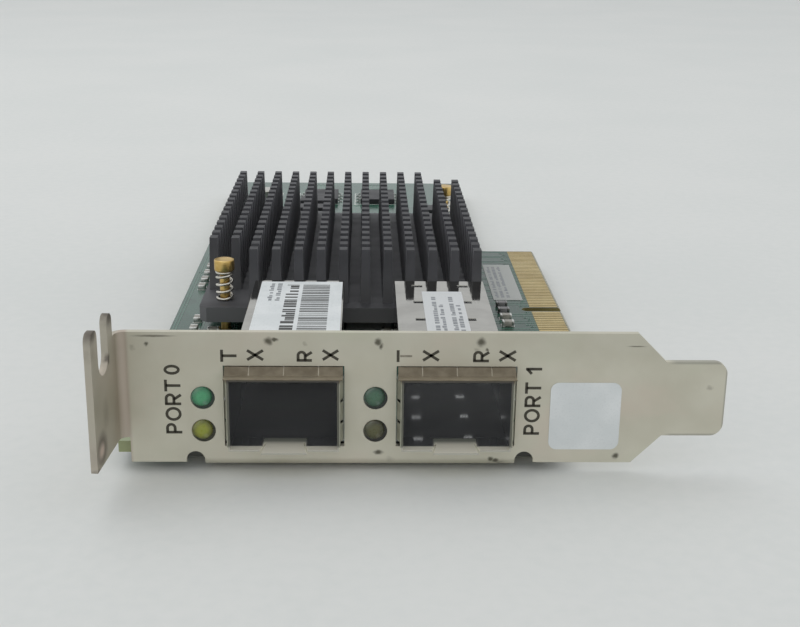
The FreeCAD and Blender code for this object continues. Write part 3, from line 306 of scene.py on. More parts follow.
def bracket_finish():
    """Dull nickel plate with warm and green patches and dark spots, and painted light and shade on it."""
    lit_low_band, shaded_high_band = (6.0, -3.0), (10.0, 14.0)
    tab, tab_height = (-31.9, -32.3), (15.0, 1.0)
    flange_front = 3.0
    finish = Finish("bracket_nickel", metallic=0.9)
    across, depth, height = (finish.at(letter) for letter in "XYZ")
    cloud = finish.noise(7.0, detail=6.0)
    patch = finish.noise(16.0, detail=4.0, stretch=(1.0, 1.0, 0.7))
    fine = finish.noise(0.22, detail=2.0)
    base = finish.blend(finish.span(cloud, 0.3, 0.7), (201, 197, 181), (214, 211, 197))
    base = finish.blend(finish.span(patch, 0.5, 0.72, 0.0, 0.55), base, (215, 201, 188))
    base = finish.blend(finish.span(patch, 0.46, 0.3, 0.0, 0.45), base, (198, 200, 179))
    faint = finish.times(finish.stains(FAINT_MARKS, ragged=0.9), 0.35)
    base = finish.blend(faint, base, (128, 120, 106))
    # Painted light low on the plate, and painted shade high up
    base = finish.blend(finish.span(height, *lit_low_band, 0.0, 0.3), base, (234, 231, 216))
    base = finish.blend(finish.span(height, *shaded_high_band, 0.0, 0.14), base, (160, 157, 144))
    # The tab's face darker towards its foot
    tab_darker_low = finish.times(finish.span(across, *tab), finish.span(height, *tab_height, 0.34, 0.4))
    base = finish.blend(tab_darker_low, base, (150, 138, 127))
    # Tarnish spots, and painted shade on the tops of the tab's lobes
    tarnish = finish.times(finish.stains(STAINS_AND_LOBE_SHADE, ragged=0.7), 0.8)
    base = finish.blend(tarnish, base, (86, 79, 73))
    base = finish.blend(finish.stains(RUBBED, ragged=0.4), base, (214, 198, 187))
    shaded = finish.times(finish.span(depth, flange_front - 0.4, flange_front - 0.1),
                          finish.span(depth, flange_front + 0.2, flange_front + 0.02))
    base = finish.blend(shaded, base, (104, 105, 101))
    # Painted shade along the tongue's rolled edges
    off_middle = finish.math("ABSOLUTE", finish.math("SUBTRACT", height, TONGUE_MIDDLE))
    tongue_edge_shade = finish.most(finish.span(off_middle, TONGUE_HALF - 0.4, TONGUE_HALF - 0.1),
                         finish.span(across, TONGUE_END - 0.3, TONGUE_END - 0.05))
    tongue_edge_shade = finish.times(tongue_edge_shade, finish.span(across, TONGUE_START, TONGUE_START + 1.5, 0.0, 0.5))
    base = finish.blend(tongue_edge_shade, base, (138, 138, 131))
    off_bend = finish.math("ABSOLUTE", finish.math("ADD", across, BEND_MIDDLE))
    base = finish.blend(finish.span(off_bend, 0.9, 0.3, 0.0, 0.45), base, (172, 148, 138))
    dirt = finish.times(finish.stains(PLATE_DIRT, ragged=0.6), 0.85)
    base = finish.blend(dirt, base, (78, 75, 62))
    dark_line = finish.times(finish.stains(DARK_LINES, ragged=0.12), 0.7)
    finish.colour(finish.blend(dark_line, base, (96, 92, 80)))
    finish.rough(cloud, 0.54, 0.68)
    return finish.bump(fine, 0.006)


def board_finish():
    """Satin green mask over copper areas, bare laminate on the cut edges, and painted shade on the front one.
    """
    beside_cages, contact_field, contact_edge = (17.0, 19.0), (28.0, 28.6), (20.0, 24.0)
    shaded_front_edge = (1.4, 1.25)
    left_end, front_end = (-28.0, -29.5), (4.0, 2.0)
    finish = Finish("board_green")
    across, depth = finish.at("X"), finish.at("Y")
    copper = finish.noise(11.0, detail=1.5)
    fine = finish.noise(0.45, detail=2.0)
    mask = finish.blend(finish.span(copper, 0.47, 0.5), (42, 78, 64), (52, 90, 75))
    mask = finish.blend(finish.span(fine, 0.35, 0.75, 0.0, 0.3), mask, (72, 106, 92))
    mask = finish.blend(finish.span(across, *beside_cages, 0.0, 0.45), mask, (26, 36, 31))
    mask = finish.blend(finish.span(across, *contact_field, 0.0, 0.5), mask, (124, 114, 78))
    layers = finish.noise(0.3, detail=1.0, stretch=(12, 12, 1))
    laminate = finish.blend(finish.span(layers, 0.35, 0.65), (112, 120, 74), (154, 156, 102))
    laminate = finish.blend(finish.span(across, *contact_edge, 0.0, 0.7), laminate, (112, 94, 58))
    # Painted shade on the board's front edge, behind the bracket
    laminate = finish.blend(finish.span(depth, *shaded_front_edge), laminate, (56, 58, 54))
    base = finish.blend(finish.span(finish.facing("Z"), 0.8, 0.95), laminate, mask)
    corner = finish.times(finish.span(across, *left_end), finish.span(depth, *front_end, 0.0, 0.7))
    finish.colour(finish.blend(corner, base, (168, 176, 130)))
    finish.feed("Specular IOR Level", finish.span(across, *beside_cages, 0.5, 0.3))
    finish.rough(fine, 0.16, 0.26)
    return finish.bump(fine, 0.003)


def sink_finish():
    """Black anodised extrusion, pale-flecked, with paler worn edges, and painted light, shade and sheen."""
    front_ledge, front_to_back = (48.0, 45.0), (44.0, 112.0)
    speck_and_sheen_grey = (96, 96, 98)
    finish = Finish("sink_black", Specular_IOR_Level=0.25)
    depth, height = finish.at("Y"), finish.at("Z")
    level, sideways = (finish.span(finish.facing(letter), 0.6, 0.95) for letter in "ZX")
    top = box_mm("heat_sink")[1].z
    cloud = finish.noise(6.0, detail=5.0)
    fine = finish.noise(0.3, detail=3.0, stretch=(1, 1, 0.35))
    # Painted light: the low part paler; painted shade: the front ledge's top darker
    foot = finish.blend(level, (98, 98, 99), (90, 90, 92))
    foot = finish.blend(finish.times(finish.span(depth, *front_ledge), level), foot, (64, 64, 66))
    base = finish.blend(finish.span(cloud, 0.3, 0.7), (62, 62, 65), (76, 76, 80))
    base = finish.blend(finish.span(height, top - 9.0, top - 1.0), foot, base)
    # Painted light on the side faces
    base = finish.blend(sideways, base, (106, 106, 109))
    # Painted shade and light on the pin tops, darker at the front and paler towards the rear
    roof = finish.blend(finish.span(depth, *front_to_back), (50, 50, 52), (75, 75, 78))
    base = finish.blend(finish.times(level, finish.span(height, top - 1.0, top - 0.2)), base, roof)
    # Pale specks on the pin tips: dust, and painted sheen
    dust_and_sheen = finish.times(finish.span(height, top - 0.3, top - 0.05), finish.span(fine, 0.3, 0.8))
    base = finish.blend(finish.times(dust_and_sheen, 0.2), base, speck_and_sheen_grey)
    # Paler edges: wear, and painted sheen
    finish.colour(finish.blend(finish.times(finish.corners(), 0.2), base, speck_and_sheen_grey))
    finish.rough(cloud, 0.5, 0.64)
    return finish.bump(fine, 0.008)


def label_finish():
    """Matt coated paper with faint fibres, greyer on the labels at the right behind the bracket."""
    behind_bracket, right_half, on_board_level = (2.0, 4.0), (0.0, 2.0), (2.0, 1.0)
    finish = Finish("label_white", Specular_IOR_Level=0.25)
    across, depth, height = (finish.at(letter) for letter in "XYZ")
    cloud = finish.noise(5.0, detail=4.0)
    fibre = finish.noise(0.25, detail=3.0, stretch=(1, 2.5, 1))
    base = finish.blend(finish.span(cloud, 0.35, 0.7), (212, 216, 216), (222, 225, 225))
    behind = finish.times(finish.span(depth, *behind_bracket), finish.span(across, *right_half))
    base = finish.blend(behind, base, (204, 206, 206))
    lowest = finish.times(behind, finish.span(height, *on_board_level))
    base = finish.blend(lowest, base, (174, 176, 172))
    finish.colour(finish.blend(finish.span(fibre, 0.5, 0.8, 0.0, 0.35), base, (194, 197, 198)))
    finish.rough(fibre, 0.55, 0.75)
    return finish.bump(fibre, 0.006)


def gold_finish():
    """Gold contact plating with insertion streaks across the contacts."""
    finish = Finish("contact_gold", metallic=1.0)
    streak = finish.noise(0.35, detail=3.0, stretch=(9, 1, 1))
    cloud = finish.noise(6.0, detail=3.0)
    base = finish.blend(finish.span(cloud, 0.3, 0.7), (186, 163, 106), (205, 184, 128))
    finish.colour(finish.blend(finish.span(streak, 0.55, 0.8, 0.0, 0.5), base, (160, 135, 86)))
    finish.rough(streak, 0.24, 0.42)
    return finish.bump(streak, 0.004)


def cage_finish():
    """Bright mirroring plate, dark inside, a dull rim, front lip and latch, and painted light and shade."""
    latch_side, latch_end = (3.0, 2.6), (1.8, 1.3)
    lip_start, lip_top, lip_fade = (-0.8, -1.2), (0.5, 0.3), (-0.5, 0.9)
    inside_depth = (-1.0, 24.0)
    mirror_index, dull_index = 2.6, 1.45
    finish = Finish("cage_steel")
    depth, height = finish.at("Y"), finish.at("Z")
    cloud = finish.noise(5.0, detail=5.0)
    fine = finish.noise(0.18, detail=2.0, stretch=(1, 14, 1))
    low, high = box_mm("module_cage_1")
    middle = (low.x + high.x) / 2
    half = high.x - middle
    off_centre = finish.math("ABSOLUTE", finish.at("X"))
    inset = finish.math("ABSOLUTE", finish.math("SUBTRACT", off_centre, middle))
    inside = finish.times(finish.span(inset, half - 0.1, half - 0.2), finish.span(height, 0.1, 0.2))
    inside = finish.times(inside, finish.span(height, high.z - 0.1, high.z - 0.2))
    latch = finish.times(finish.span(inset, *latch_side), finish.span(depth, *latch_end))
    lip = finish.most(latch, finish.span(depth, *lip_start))
    lip = finish.times(lip, finish.span(height, *lip_top))
    rim = finish.span(depth, low.y + 0.12, low.y + 0.06)
    skin = finish.blend(finish.span(cloud, 0.3, 0.7), (159, 157, 150), (177, 175, 168))
    # Painted light: the inside paler deeper in, where less light reaches
    inside_painted_lift = finish.blend(finish.span(depth, *inside_depth), (84, 85, 86), (232, 233, 234))
    skin = finish.blend(inside, skin, inside_painted_lift)
    # Painted shade: the lip darker further into the port
    lip_shade_ramp = finish.blend(finish.span(depth, *lip_fade), (230, 225, 208), (134, 135, 125))
    skin = finish.blend(lip, skin, lip_shade_ramp)
    # Painted shade and light on the rim's front: darker at the top, paler at the bottom
    front = finish.blend(finish.span(height, high.z - 0.6, high.z - 0.2), (96, 96, 86), (72, 69, 62))
    front = finish.blend(finish.span(height, 0.9, 0.4), front, (184, 181, 169))
    finish.colour(finish.blend(rim, skin, front))
    dull = finish.most(lip, rim)
    finish.feed("IOR", finish.span(dull, 0.0, 1.0, mirror_index, dull_index))
    finish.feed("Metallic", finish.math("SUBTRACT", 1.0, finish.most(inside, dull)))
    gloss = finish.span(fine, 0.25, 0.75, 0.04, 0.09)
    finish.feed("Roughness", finish.math("ADD", gloss, finish.times(dull, 0.4)))
    return finish.bump(fine, 0.0004)


def collar_finish():
    """Springy foil, brown on top, with painted light: dull grey side fingers, paler front flats."""
    before_plate = (-0.7, -0.9)
    finish = Finish("collar_foil")
    cloud = finish.noise(1.6, detail=4.0)
    fine = finish.noise(0.3, detail=2.0, stretch=(6, 1, 1))
    patches = finish.span(cloud, 0.3, 0.7)
    top = finish.blend(patches, (110, 101, 85), (132, 123, 106))
    side = finish.blend(patches, (148, 148, 132), (170, 170, 154))
    level = finish.span(finish.facing("Z"), 0.85, 0.98)
    # Painted light: the upward flats in front of the plate paler
    top = finish.blend(finish.times(finish.span(finish.at("Y"), *before_plate), level), top, (188, 178, 161))
    ceiling = box_mm("module_cage_1")[1].z
    upper = finish.span(finish.at("Z"), ceiling - 0.6, ceiling - 0.1)
    # Painted light: the side fingers a paler grey than the top
    finish.colour(finish.blend(upper, side, top))
    finish.feed("Metallic", finish.span(upper, 0.0, 1.0, 0.3, 0.85))
    finish.rough(cloud, 0.34, 0.48)
    return finish.bump(fine, 0.002)


def dull_right(finish, dark, light, dull):
    """Cloudy colour of small parts, duller on the far two of the four beside the right cage."""
    beside_cage, zone_start, zone_end = (17.0, 18.5), (54.8, 56.4), (65.0, 63.0)
    cloud = finish.noise(0.8, detail=4.0)
    base = finish.blend(finish.span(cloud, 0.32, 0.68), dark, light)
    depth = finish.at("Y")
    zone = finish.times(finish.span(depth, *zone_start), finish.span(depth, *zone_end))
    zone = finish.times(zone, finish.span(finish.at("X"), *beside_cage))
    return cloud, finish.blend(zone, base, dull)


def ceramic_finish():
    """Fired ceramic of the small capacitors."""
    finish = Finish("ceramic_tan")
    cloud, base = dull_right(finish, (146, 143, 133), (174, 171, 161), (124, 122, 122))
    return finish.colour(base).rough(cloud, 0.4, 0.55).bump(cloud, 0.006)


def tin_finish():
    """Tin plate of leads, pads and end caps."""
    finish = Finish("lead_tin", metallic=1.0)
    cloud, base = dull_right(finish, (186, 186, 182), (214, 214, 210), (128, 127, 126))
    return finish.colour(base).rough(cloud, 0.22, 0.4).bump(cloud, 0.004)


def lens_finish(name, centre, core, rim):
    """Tinted lens with a bright middle, painted highlights and shade, and a painted shadow on its flange."""
    glint_place, glint_radius = (0.42, 0, -0.72), 0.42
    pale = [(value + 150) / 2 for value in core]
    flange_dark = [value * 0.45 for value in rim]
    flange_light = [(value + 110) / 2 for value in core]
    finish = Finish(name, Coat_Weight=0.3, Coat_Roughness=0.12,
                    Subsurface_Weight=0.15, Subsurface_Scale=0.4 * MM)
    flat = finish.vector("MULTIPLY", finish.vector("SUBTRACT", finish.place, centre), (1, 0, 1))
    gap = finish.vector("DISTANCE", flat, (0, 0, 0))
    slant = finish.math("SUBTRACT", finish.axis(flat, "Z"), finish.axis(flat, "X"))
    haze = finish.noise(0.5, detail=3.0)
    spread = finish.math("ADD", gap, finish.times(haze, 0.4))
    tint = finish.blend(finish.span(spread, 0.7, 1.6), core, rim)
    # Painted shade towards the lower right
    tint = finish.blend(finish.span(slant, -0.4, -1.6, 0.0, 0.6), tint, rim)
    # Painted highlight on the upper left edge
    tint = finish.blend(finish.span(slant, 0.9, 1.8, 0.0, 0.7), tint, pale)
    # Painted glint at the lower right
    glint = finish.vector("DISTANCE", flat, glint_place)
    tint = finish.blend(finish.span(glint, glint_radius, 0.1, 0.0, 0.55), tint, pale)
    # The flange painted dark below right as a shadow, and paler above left as painted light
    flange = finish.blend(finish.span(slant, -0.5, 1.2), flange_dark, flange_light)
    finish.colour(finish.blend(finish.span(gap, LENS_RADIUS - 0.04, LENS_RADIUS + 0.06), tint, flange))
    finish.rough(haze, 0.22, 0.38)
    return finish.bump(haze, 0.02)


FINISH = {
    "board_green": board_finish(),
    "contact_gold": gold_finish(),
    "bracket_nickel": bracket_finish(),
    "cage_steel": cage_finish(),
    "collar_foil": collar_finish(),
    "connector_black": moulded("connector_black", (38, 38, 40), (52, 52, 55), (0.45, 0.6)),
    "sink_black": sink_finish(),
    "pin_brass": plated("pin_brass", (196, 162, 92), (224, 196, 130), (0.28, 0.4), patch=1.5,
                        stretch=(4, 4, 1)),
    "spring_steel": plated("spring_steel", (196, 192, 182), (226, 222, 212), (0.14, 0.26), patch=1.2),
    "screw_zinc": plated("screw_zinc", (178, 178, 172), (206, 206, 200), (0.25, 0.4), patch=1.5),
    "chip_black": moulded("chip_black", (27, 27, 29), (42, 42, 45), (0.42, 0.58), grain=0.08),
    "lead_tin": tin_finish(),
    "substrate_green": moulded("substrate_green", (44, 82, 52), (60, 100, 66), (0.4, 0.55)),
    "lid_nickel": plated("lid_nickel", (182, 180, 172), (206, 204, 196), (0.2, 0.34), stretch=(6, 1, 1)),
    "pad_grey": moulded("pad_grey", (140, 142, 146), (164, 166, 170), (0.7, 0.85)),
    "ferrite_grey": moulded("ferrite_grey", (46, 46, 48), (68, 68, 70), (0.6, 0.78), grain=0.16, depth=0.015),
    "bulk_black": moulded("bulk_black", (38, 38, 40), (54, 54, 57), (0.42, 0.58)),
    "ceramic_tan": ceramic_finish(),
    "label_white": label_finish(),
}
# Pale foil standing in for the highlights in the collars' splits
SPLIT_HIGHLIGHT = plated("split_highlight", (152, 144, 128), (172, 164, 147), (0.3, 0.44), patch=1.0)
MASK_OVER_COPPER = moulded("mask_over_copper", (58, 100, 82), (72, 116, 97), (0.18, 0.28), grain=0.3)
SILK = moulded("silk_print", (206, 210, 204), (226, 230, 224), (0.5, 0.65), grain=0.1)
PRINT = moulded("black_print", (50, 47, 37), (72, 68, 56), (0.5, 0.7), patch=0.6, grain=0.1)
WORN_PRINT = moulded("worn_print", (120, 114, 100), (150, 145, 130), (0.5, 0.7), patch=0.6, grain=0.1)
LABEL_PRINT = moulded("label_print", (48, 48, 46), (72, 72, 70), (0.5, 0.7), patch=0.6, grain=0.1)
GREY_PRINT = moulded("grey_print", (120, 123, 126), (152, 155, 158), (0.55, 0.7), patch=0.7)
DRILL = moulded("drill_shadow", (16, 22, 18), (34, 42, 34), (0.6, 0.8), patch=0.4)


def add_piece(name, form, finish, replaced=()):
    """Put a finished form into the scene as a piece of the object."""
    mesh = bpy.data.meshes.new(name)
    bmesh.ops.recalc_face_normals(form, faces=form.faces)
    form.to_mesh(mesh)
    form.free()
    mesh.shade_smooth()
    mesh.set_sharp_from_angle(angle=SMOOTH)
    mesh.materials.append(finish.material)
    piece = bpy.data.objects.new(name, mesh)
    bpy.context.scene.collection.objects.link(piece)
    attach(piece, "root")
    if replaced:
        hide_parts(*replaced)
    return piece


def welded(node):
    """The form of a CAD node with its split corners joined."""
    form = bmesh.new()
    form.from_mesh(frame["nodes"][node].data)
    bmesh.ops.remove_doubles(form, verts=form.verts, dist=WELD)
    return form


def rounded(node, edge):
    """Stand a copy of a CAD node in its place, with its sharp edges rounded."""
    form = welded(node)
    bmesh.ops.dissolve_limit(form, angle_limit=FLAT, verts=form.verts, edges=form.edges)
    sharp = [line for line in form.edges if len(line.link_faces) == 2 and line.calc_face_angle() > SHARP]
    bmesh.ops.bevel(form, geom=sharp, offset=edge * MM, offset_type="OFFSET", segments=2,
                    profile=0.5, affect="EDGES", clamp_overlap=True)
    slot = SLOT_OF[node]
    piece = add_piece(f"{node}_form", form, FINISH[slot], (node,))
    piece.modifiers.new("even_shading", "WEIGHTED_NORMAL").keep_sharp = True


def solids(node):
    """The lowest and highest corner, in millimetres, of each separate solid of a CAD node."""
    form = welded(node)
    waiting = set(form.verts)
    boxes = []
    while waiting:
        group = [waiting.pop()]
        for vertex in group:
            linked = {line.other_vert(vertex) for line in vertex.link_edges} & waiting
            waiting -= linked
            group.extend(linked)
        places = [vertex.co / MM for vertex in group]
        boxes.append((Vector(map(min, zip(*places))), Vector(map(max, zip(*places)))))
    form.free()
    return sorted(boxes, key=lambda box: tuple(box[0]))


def shifted(path, gap):
    """A path of corners moved sideways by a gap, mitred where it turns."""
    points = [Vector(point) for point in path]
    headings = [(after - before).normalized() for before, after in zip(points, points[1:])]
    moved = []
    for index, point in enumerate(points):
        before = headings[max(index - 1, 0)]
        after = headings[min(index, len(headings) - 1)]
        middle = (before + after).normalized()
        moved.append(point + Vector((-middle.y, middle.x)) * (gap / middle.dot(before)))
    return moved


class Relief:
    """Thin closed shapes on a flat face, in millimetres across and along that face."""

    def __init__(self, origin, across, along, out, thickness):
        self.lay = Matrix((across, along, out)).transposed().to_4x4() * MM
        self.lay.translation = Vector(origin) * MM
        self.thickness = thickness
        self.form = bmesh.new()

    def vertex(self, u, v, height):
        """A corner at a height over the face."""
        return self.form.verts.new(self.lay @ Vector((u, v, height)))

    def skin(self, loops, closed=False):
        """Faces between loops of equally many corners, with end faces unless the loops close."""
        rows = [[self.vertex(*corner) for corner in loop] for loop in loops]
        pairs = list(zip(rows, rows[1:]))
        if closed:
            pairs.append((rows[-1], rows[0]))
        else:
            self.form.faces.new(reversed(rows[0]))
            self.form.faces.new(rows[-1])
        for row, following in pairs:
            for index in range(len(row)):
                after = (index + 1) % len(row)
                self.form.faces.new((row[index], row[after], following[after], following[index]))

    def plate(self, corners):
        """A flat plate from its corners in order."""
        self.skin([[(u, v, height) for u, v in corners] for height in (0.0, self.thickness)])

    def bar(self, left, right, low, high):
        """A rectangle."""
        self.plate([(left, low), (right, low), (right, high), (left, high)])

    def frame(self, left, right, low, high, width):
        """A rectangular outline of that line width."""
        self.bar(left, right, low, low + width)
        self.bar(left, right, high - width, high)
        self.bar(left, left + width, low + width, high - width)
        self.bar(right - width, right, low + width, high - width)

    def disc(self, u, v, radius, count=14):
        """A round plate."""
        turns = [math.tau * step / count for step in range(count)]
        self.plate([(u + radius * math.cos(turn), v + radius * math.sin(turn)) for turn in turns])

    def ring(self, u, v, inner, outer):
        """A flat ring."""
        middle = (inner + outer) / 2
        self.oval(u, v, middle, middle, outer - inner, count=14)

    def track(self, path, width):
        """A line of constant width along a path of corners."""
        loops = []
        for left, right in zip(shifted(path, width / 2), shifted(path, -width / 2)):
            loops.append([(*left, 0.0), (*right, 0.0), (*right, self.thickness), (*left, self.thickness)])
        self.skin(loops)

    def oval(self, u, v, half_wide, half_high, width, count=28):
        """An oval outline of that line width, measured to its middle line."""
        loops = []
        for step in range(count):
            across, along = math.cos(math.tau * step / count), math.sin(math.tau * step / count)
            loop = []
            for side, height in ((-1, 0.0), (1, 0.0), (1, self.thickness), (-1, self.thickness)):
                wide, high = half_wide + side * width / 2, half_high + side * width / 2
                loop.append((u + wide * across, v + high * along, height))
            loops.append(loop)
        self.skin(loops, closed=True)

    def letter(self, sign, left, right, low, high, width):
        """A letter or digit that reads along v with its foot at the right, drawn by a pen of that width."""
        inset = width / 2
        cap = left + inset
        near, far = low + inset, high - inset
        middle = (low + high) / 2
        if sign in "O0":
            half_wide, half_high = (right - left) / 2 - inset, (high - low) / 2 - inset
            self.oval((left + right) / 2, middle, half_wide, half_high, width)
        elif sign == "T":
            self.track([(cap, low), (cap, high)], width)
            self.track([(cap, middle), (right, middle)], width)
        elif sign == "X":
            self.track([(left, near), (right, far)], width)
            self.track([(left, far), (right, near)], width)
        elif sign == "1":
            self.track([(left, far), (right, far)], width)
            self.track([(cap, far), (cap + width * 1.6, low)], width)
        else:
            self.track([(left, near), (right, near)], width)
            waist = left + (right - left) * 0.56
            bow = (waist - cap) / 2
            bulge = far - bow
            turns = [math.pi * step / 10 for step in range(11)]
            curve = [(cap + bow - bow * math.cos(turn), bulge + bow * math.sin(turn)) for turn in turns]
            self.track([(cap, near), *curve, (waist, near)], width)
            if sign == "R":
                self.track([(waist, middle), (right, far)], width)

    def place(self, name, finish, slot):
        """Put the shapes into the scene as one piece."""
        bmesh.ops.remove_doubles(self.form, verts=self.form.verts, dist=WELD / 10)
        add_piece(name, self.form, finish)


BOARD_UNDER = box_mm("circuit_board")[0].z
LABEL_TOP = box_mm("cage_label_0")[1].z
BOARD_LABEL_TOP = box_mm("board_label")[1].z


def on_board(thickness, level=0.0):
    """Shapes on the component face, or at a level over it."""
    return Relief((0, 0, level), X, Y, Z, thickness)


def under_board(thickness):
    """Shapes on the solder face."""
    return Relief((0, 0, BOARD_UNDER), X, Y, -Z, thickness)


def on_plate(thickness):
    """Shapes on the bracket's outer face."""
    return Relief((0, 0, 0), X, Z, -Y, thickness)


def turned(form, profile, centre, axis, count=32):
    """Revolve (radius, along) corners about an axis through a centre, both in millimetres."""
    side = X if abs(axis.dot(X)) < 0.5 else Y
    other = axis.cross(side)
    rows = []
    for radius, along in profile:
        middle = Vector(centre) + axis * along
        if radius == 0:
            rows.append([form.verts.new(middle * MM)])
            continue
        turns = [math.tau * step / count for step in range(count)]
        rows.append([form.verts.new((middle + (side * math.cos(turn) + other * math.sin(turn)) * radius) * MM)
                     for turn in turns])
    for row, following in zip(rows, rows[1:]):
        for step in range(count):
            after = (step + 1) % count
            corners = [row[step % len(row)], row[after % len(row)],
                       following[after % len(following)], following[step % len(following)]]
            form.faces.new(dict.fromkeys(corners))


def dress_nodes():
    """Round the edges of the solids that show, and give the rest their finish."""
    edges = {
        "bracket": 0.12, "bracket_screws": 0.12, "heat_sink": 0.16,
        "push_pin_front": 0.18, "push_pin_rear": 0.18,
        "memory_chips": 0.12, "regulator_chips": 0.12, "power_inductors": 0.25,
        "bulk_capacitors": 0.22, "clock_oscillator": 0.2,
        "component_side_capacitors": 0.06, "component_side_end_caps": 0.06,
        "solder_side_capacitors": 0.06, "solder_side_end_caps": 0.06,
        "controller_substrate": 0.08, "controller_lid": 0.12,
    }
    for port in (0, 1):
        edges[f"module_cage_{port}"] = 0.06
        edges[f"spring_collar_{port}"] = 0.04
        edges[f"module_connector_{port}"] = 0.15
        edges[f"lamp_holder_{port}"] = 0.25
    for node, edge in edges.items():
        rounded(node, edge)
    for node, slot in SLOT_OF.items():
        if node not in edges and slot in FINISH:
            mesh = frame["nodes"][node].data
            mesh.materials.clear()
            mesh.materials.append(FINISH[slot].material)


def make_lamps():
    """Button lenses with a rounded rim, and a flange that fills the hole round each."""
    tints = {
        "lamp_upper_0": ((78, 158, 112), (42, 104, 72)),
        "lamp_lower_0": ((146, 152, 54), (90, 92, 34)),
        # Port 1's lenses darker than port 0's, painted shade
        "lamp_upper_1": ((69, 104, 81), (34, 66, 50)),
        "lamp_lower_1": ((86, 86, 53), (48, 48, 30)),
    }
    rim, rim_steps = 0.28, 8
    crown, crown_steps = 0.12, 6
    wide, back, front = 1.5, -0.7, -0.05
    flange = [(0, back), (wide, back), (wide, front), (0, front)]
    for node, (core, edge) in tints.items():
        low, high = box_mm(node)
        centre = Vector(((low.x + high.x) / 2, 0, (low.z + high.z) / 2))
        shoulder = -low.y - crown - rim
        profile = [(0, -high.y), (LENS_RADIUS, -high.y), (LENS_RADIUS, shoulder)]
        for step in range(1, rim_steps + 1):
            turn = math.pi / 2 * step / rim_steps
            profile.append((LENS_RADIUS - rim + rim * math.cos(turn), shoulder + rim * math.sin(turn)))
        for step in range(1, crown_steps):
            share = 1 - step / crown_steps
            profile.append(((LENS_RADIUS - rim) * share, shoulder + rim + crown * (1 - share * share)))
        profile.append((0, -low.y))
        form = bmesh.new()
        turned(form, flange, centre + LAMP_HOLE_SHIFT, -Y)
        turned(form, profile, centre, -Y)
        finish = lens_finish(f"{node}_tint", centre, core, edge)
        add_piece(f"{node}_lens", form, finish, (node,))


def make_splits():
    """Pale foil webs in the splits between the collars' top fingers, a painted highlight there."""
    foot, back = -0.9, 0.8
    under, over = 0.3, 0.1
    for port in (0, 1):
        node = f"spring_collar_{port}"
        crest = box_mm(node)[1].z
        seat = box_mm(f"module_cage_{port}")[1].z
        form = welded(node)
        edges = sorted({round(vertex.co.x / MM, 2) for vertex in form.verts
                        if vertex.co.z / MM > crest - over / 2})
        form.free()
        for number, (left, right) in enumerate(zip(edges[1:-1:2], edges[2:-1:2])):
            web = Relief((left, 0, 0), Y, Z, X, right - left)
            web.plate([(foot, seat), (0.0, crest - under), (back, crest - under),
                       (back, crest - over), (0.0, crest - over), (foot, seat + over)])
            web.place(f"collar_{port}_split_{number}", SPLIT_HIGHLIGHT, "collar_foil")


def make_springs():
    """Round-wire coil springs with closed ends, under the heads of the push pins."""
    wire, turns, closed = 0.5, 5, 0.75
    facets, sides = 36, 10
    for place in ("front", "rear"):
        node = f"pin_spring_{place}"
        low, high = box_mm(node)
        pin_low, pin_high = box_mm(f"push_pin_{place}")
        middle = (pin_low + pin_high) / 2
        coil = (high.y - low.y - wire) / 2
        rise = high.z - low.z - wire
        form = bmesh.new()
        rows = []
        for step in range(turns * facets + 1):
            turn = math.tau * step / facets
            climb = min(max((step / facets - closed) / (turns - 2 * closed), 0), 1)
            spoke = Vector((math.cos(turn), math.sin(turn), 0))
            centre = Vector((middle.x, middle.y, low.z + wire / 2 + rise * climb)) + spoke * coil
            row = []
            for side in range(sides):
                around = math.tau * side / sides
                out = spoke * math.cos(around) + Z * math.sin(around)
                row.append(form.verts.new((centre + out * wire / 2) * MM))
            rows.append(row)
        for row, following in zip(rows, rows[1:]):
            for side in range(sides):
                after = (side + 1) % sides
                form.faces.new((row[side], row[after], following[after], following[side]))
        form.faces.new(rows[0])
        form.faces.new(rows[-1])
        add_piece(f"{node}_coil", form, FINISH["spring_steel"], (node,))


def print_bracket():
    """Port numbers and direction marks in dark print on the bracket's face."""
    # Each letter's left, right, low and high edge
    marks = [
        ("T", -19.13, -17.05, 11.45, 13.08), ("X", -15.72, -13.69, 11.55, 13.19),
        ("R", -9.43, -7.49, 11.49, 12.98), ("X", -6.1, -4.13, 11.59, 13.23),
        ("X", 6.7, 8.72, 11.55, 13.2), ("R", 13.1, 15.14, 11.5, 13.05), ("X", 16.49, 18.57, 11.55, 13.2),
    ]
    # Where each letter of the word, and then the digit, begins and ends as shares of the line
    word = (("P", 0.0, 0.155), ("O", 0.187, 0.39), ("R", 0.416, 0.587), ("T", 0.616, 0.785))
    numbers = {"0": (-26.39, -24.31, 1.56, 11.03, 0.857), "1": (19.96, 22.04, 1.47, 10.78, 0.909)}
    for digit, (left, right, low, high, start) in numbers.items():
        for sign, begin, end in (*word, (digit, start, 1.0)):
            marks.append((sign, left, right, low + (high - low) * begin, low + (high - low) * end))
    relief, faded = on_plate(INK), on_plate(INK)
    for mark in marks:
        relief.letter(*mark, PEN)
    # The one T whose stem has worn away
    cap, stem, foot = 3.32, 3.77, 5.3
    relief.bar(cap, cap + PEN, 11.5, 13.1)
    faded.bar(stem, foot, 12.16, 12.44)
    relief.place("port_marks", PRINT, "connector_black")
    faded.place("faded_mark", WORN_PRINT, "connector_black")


def greek(relief, left, right, low, high):
    """Blocks that stand for a line of small type along v, and say nothing."""
    v = low
    while v < high:
        length = DICE.uniform(0.5, 1.1)
        inset = DICE.choice((0.0, 0.0, 0.3)) * (right - left)
        relief.bar(left + inset, right, v, min(v + length, high))
        v += length + DICE.choice((0.22, 0.22, 0.3, 0.9))


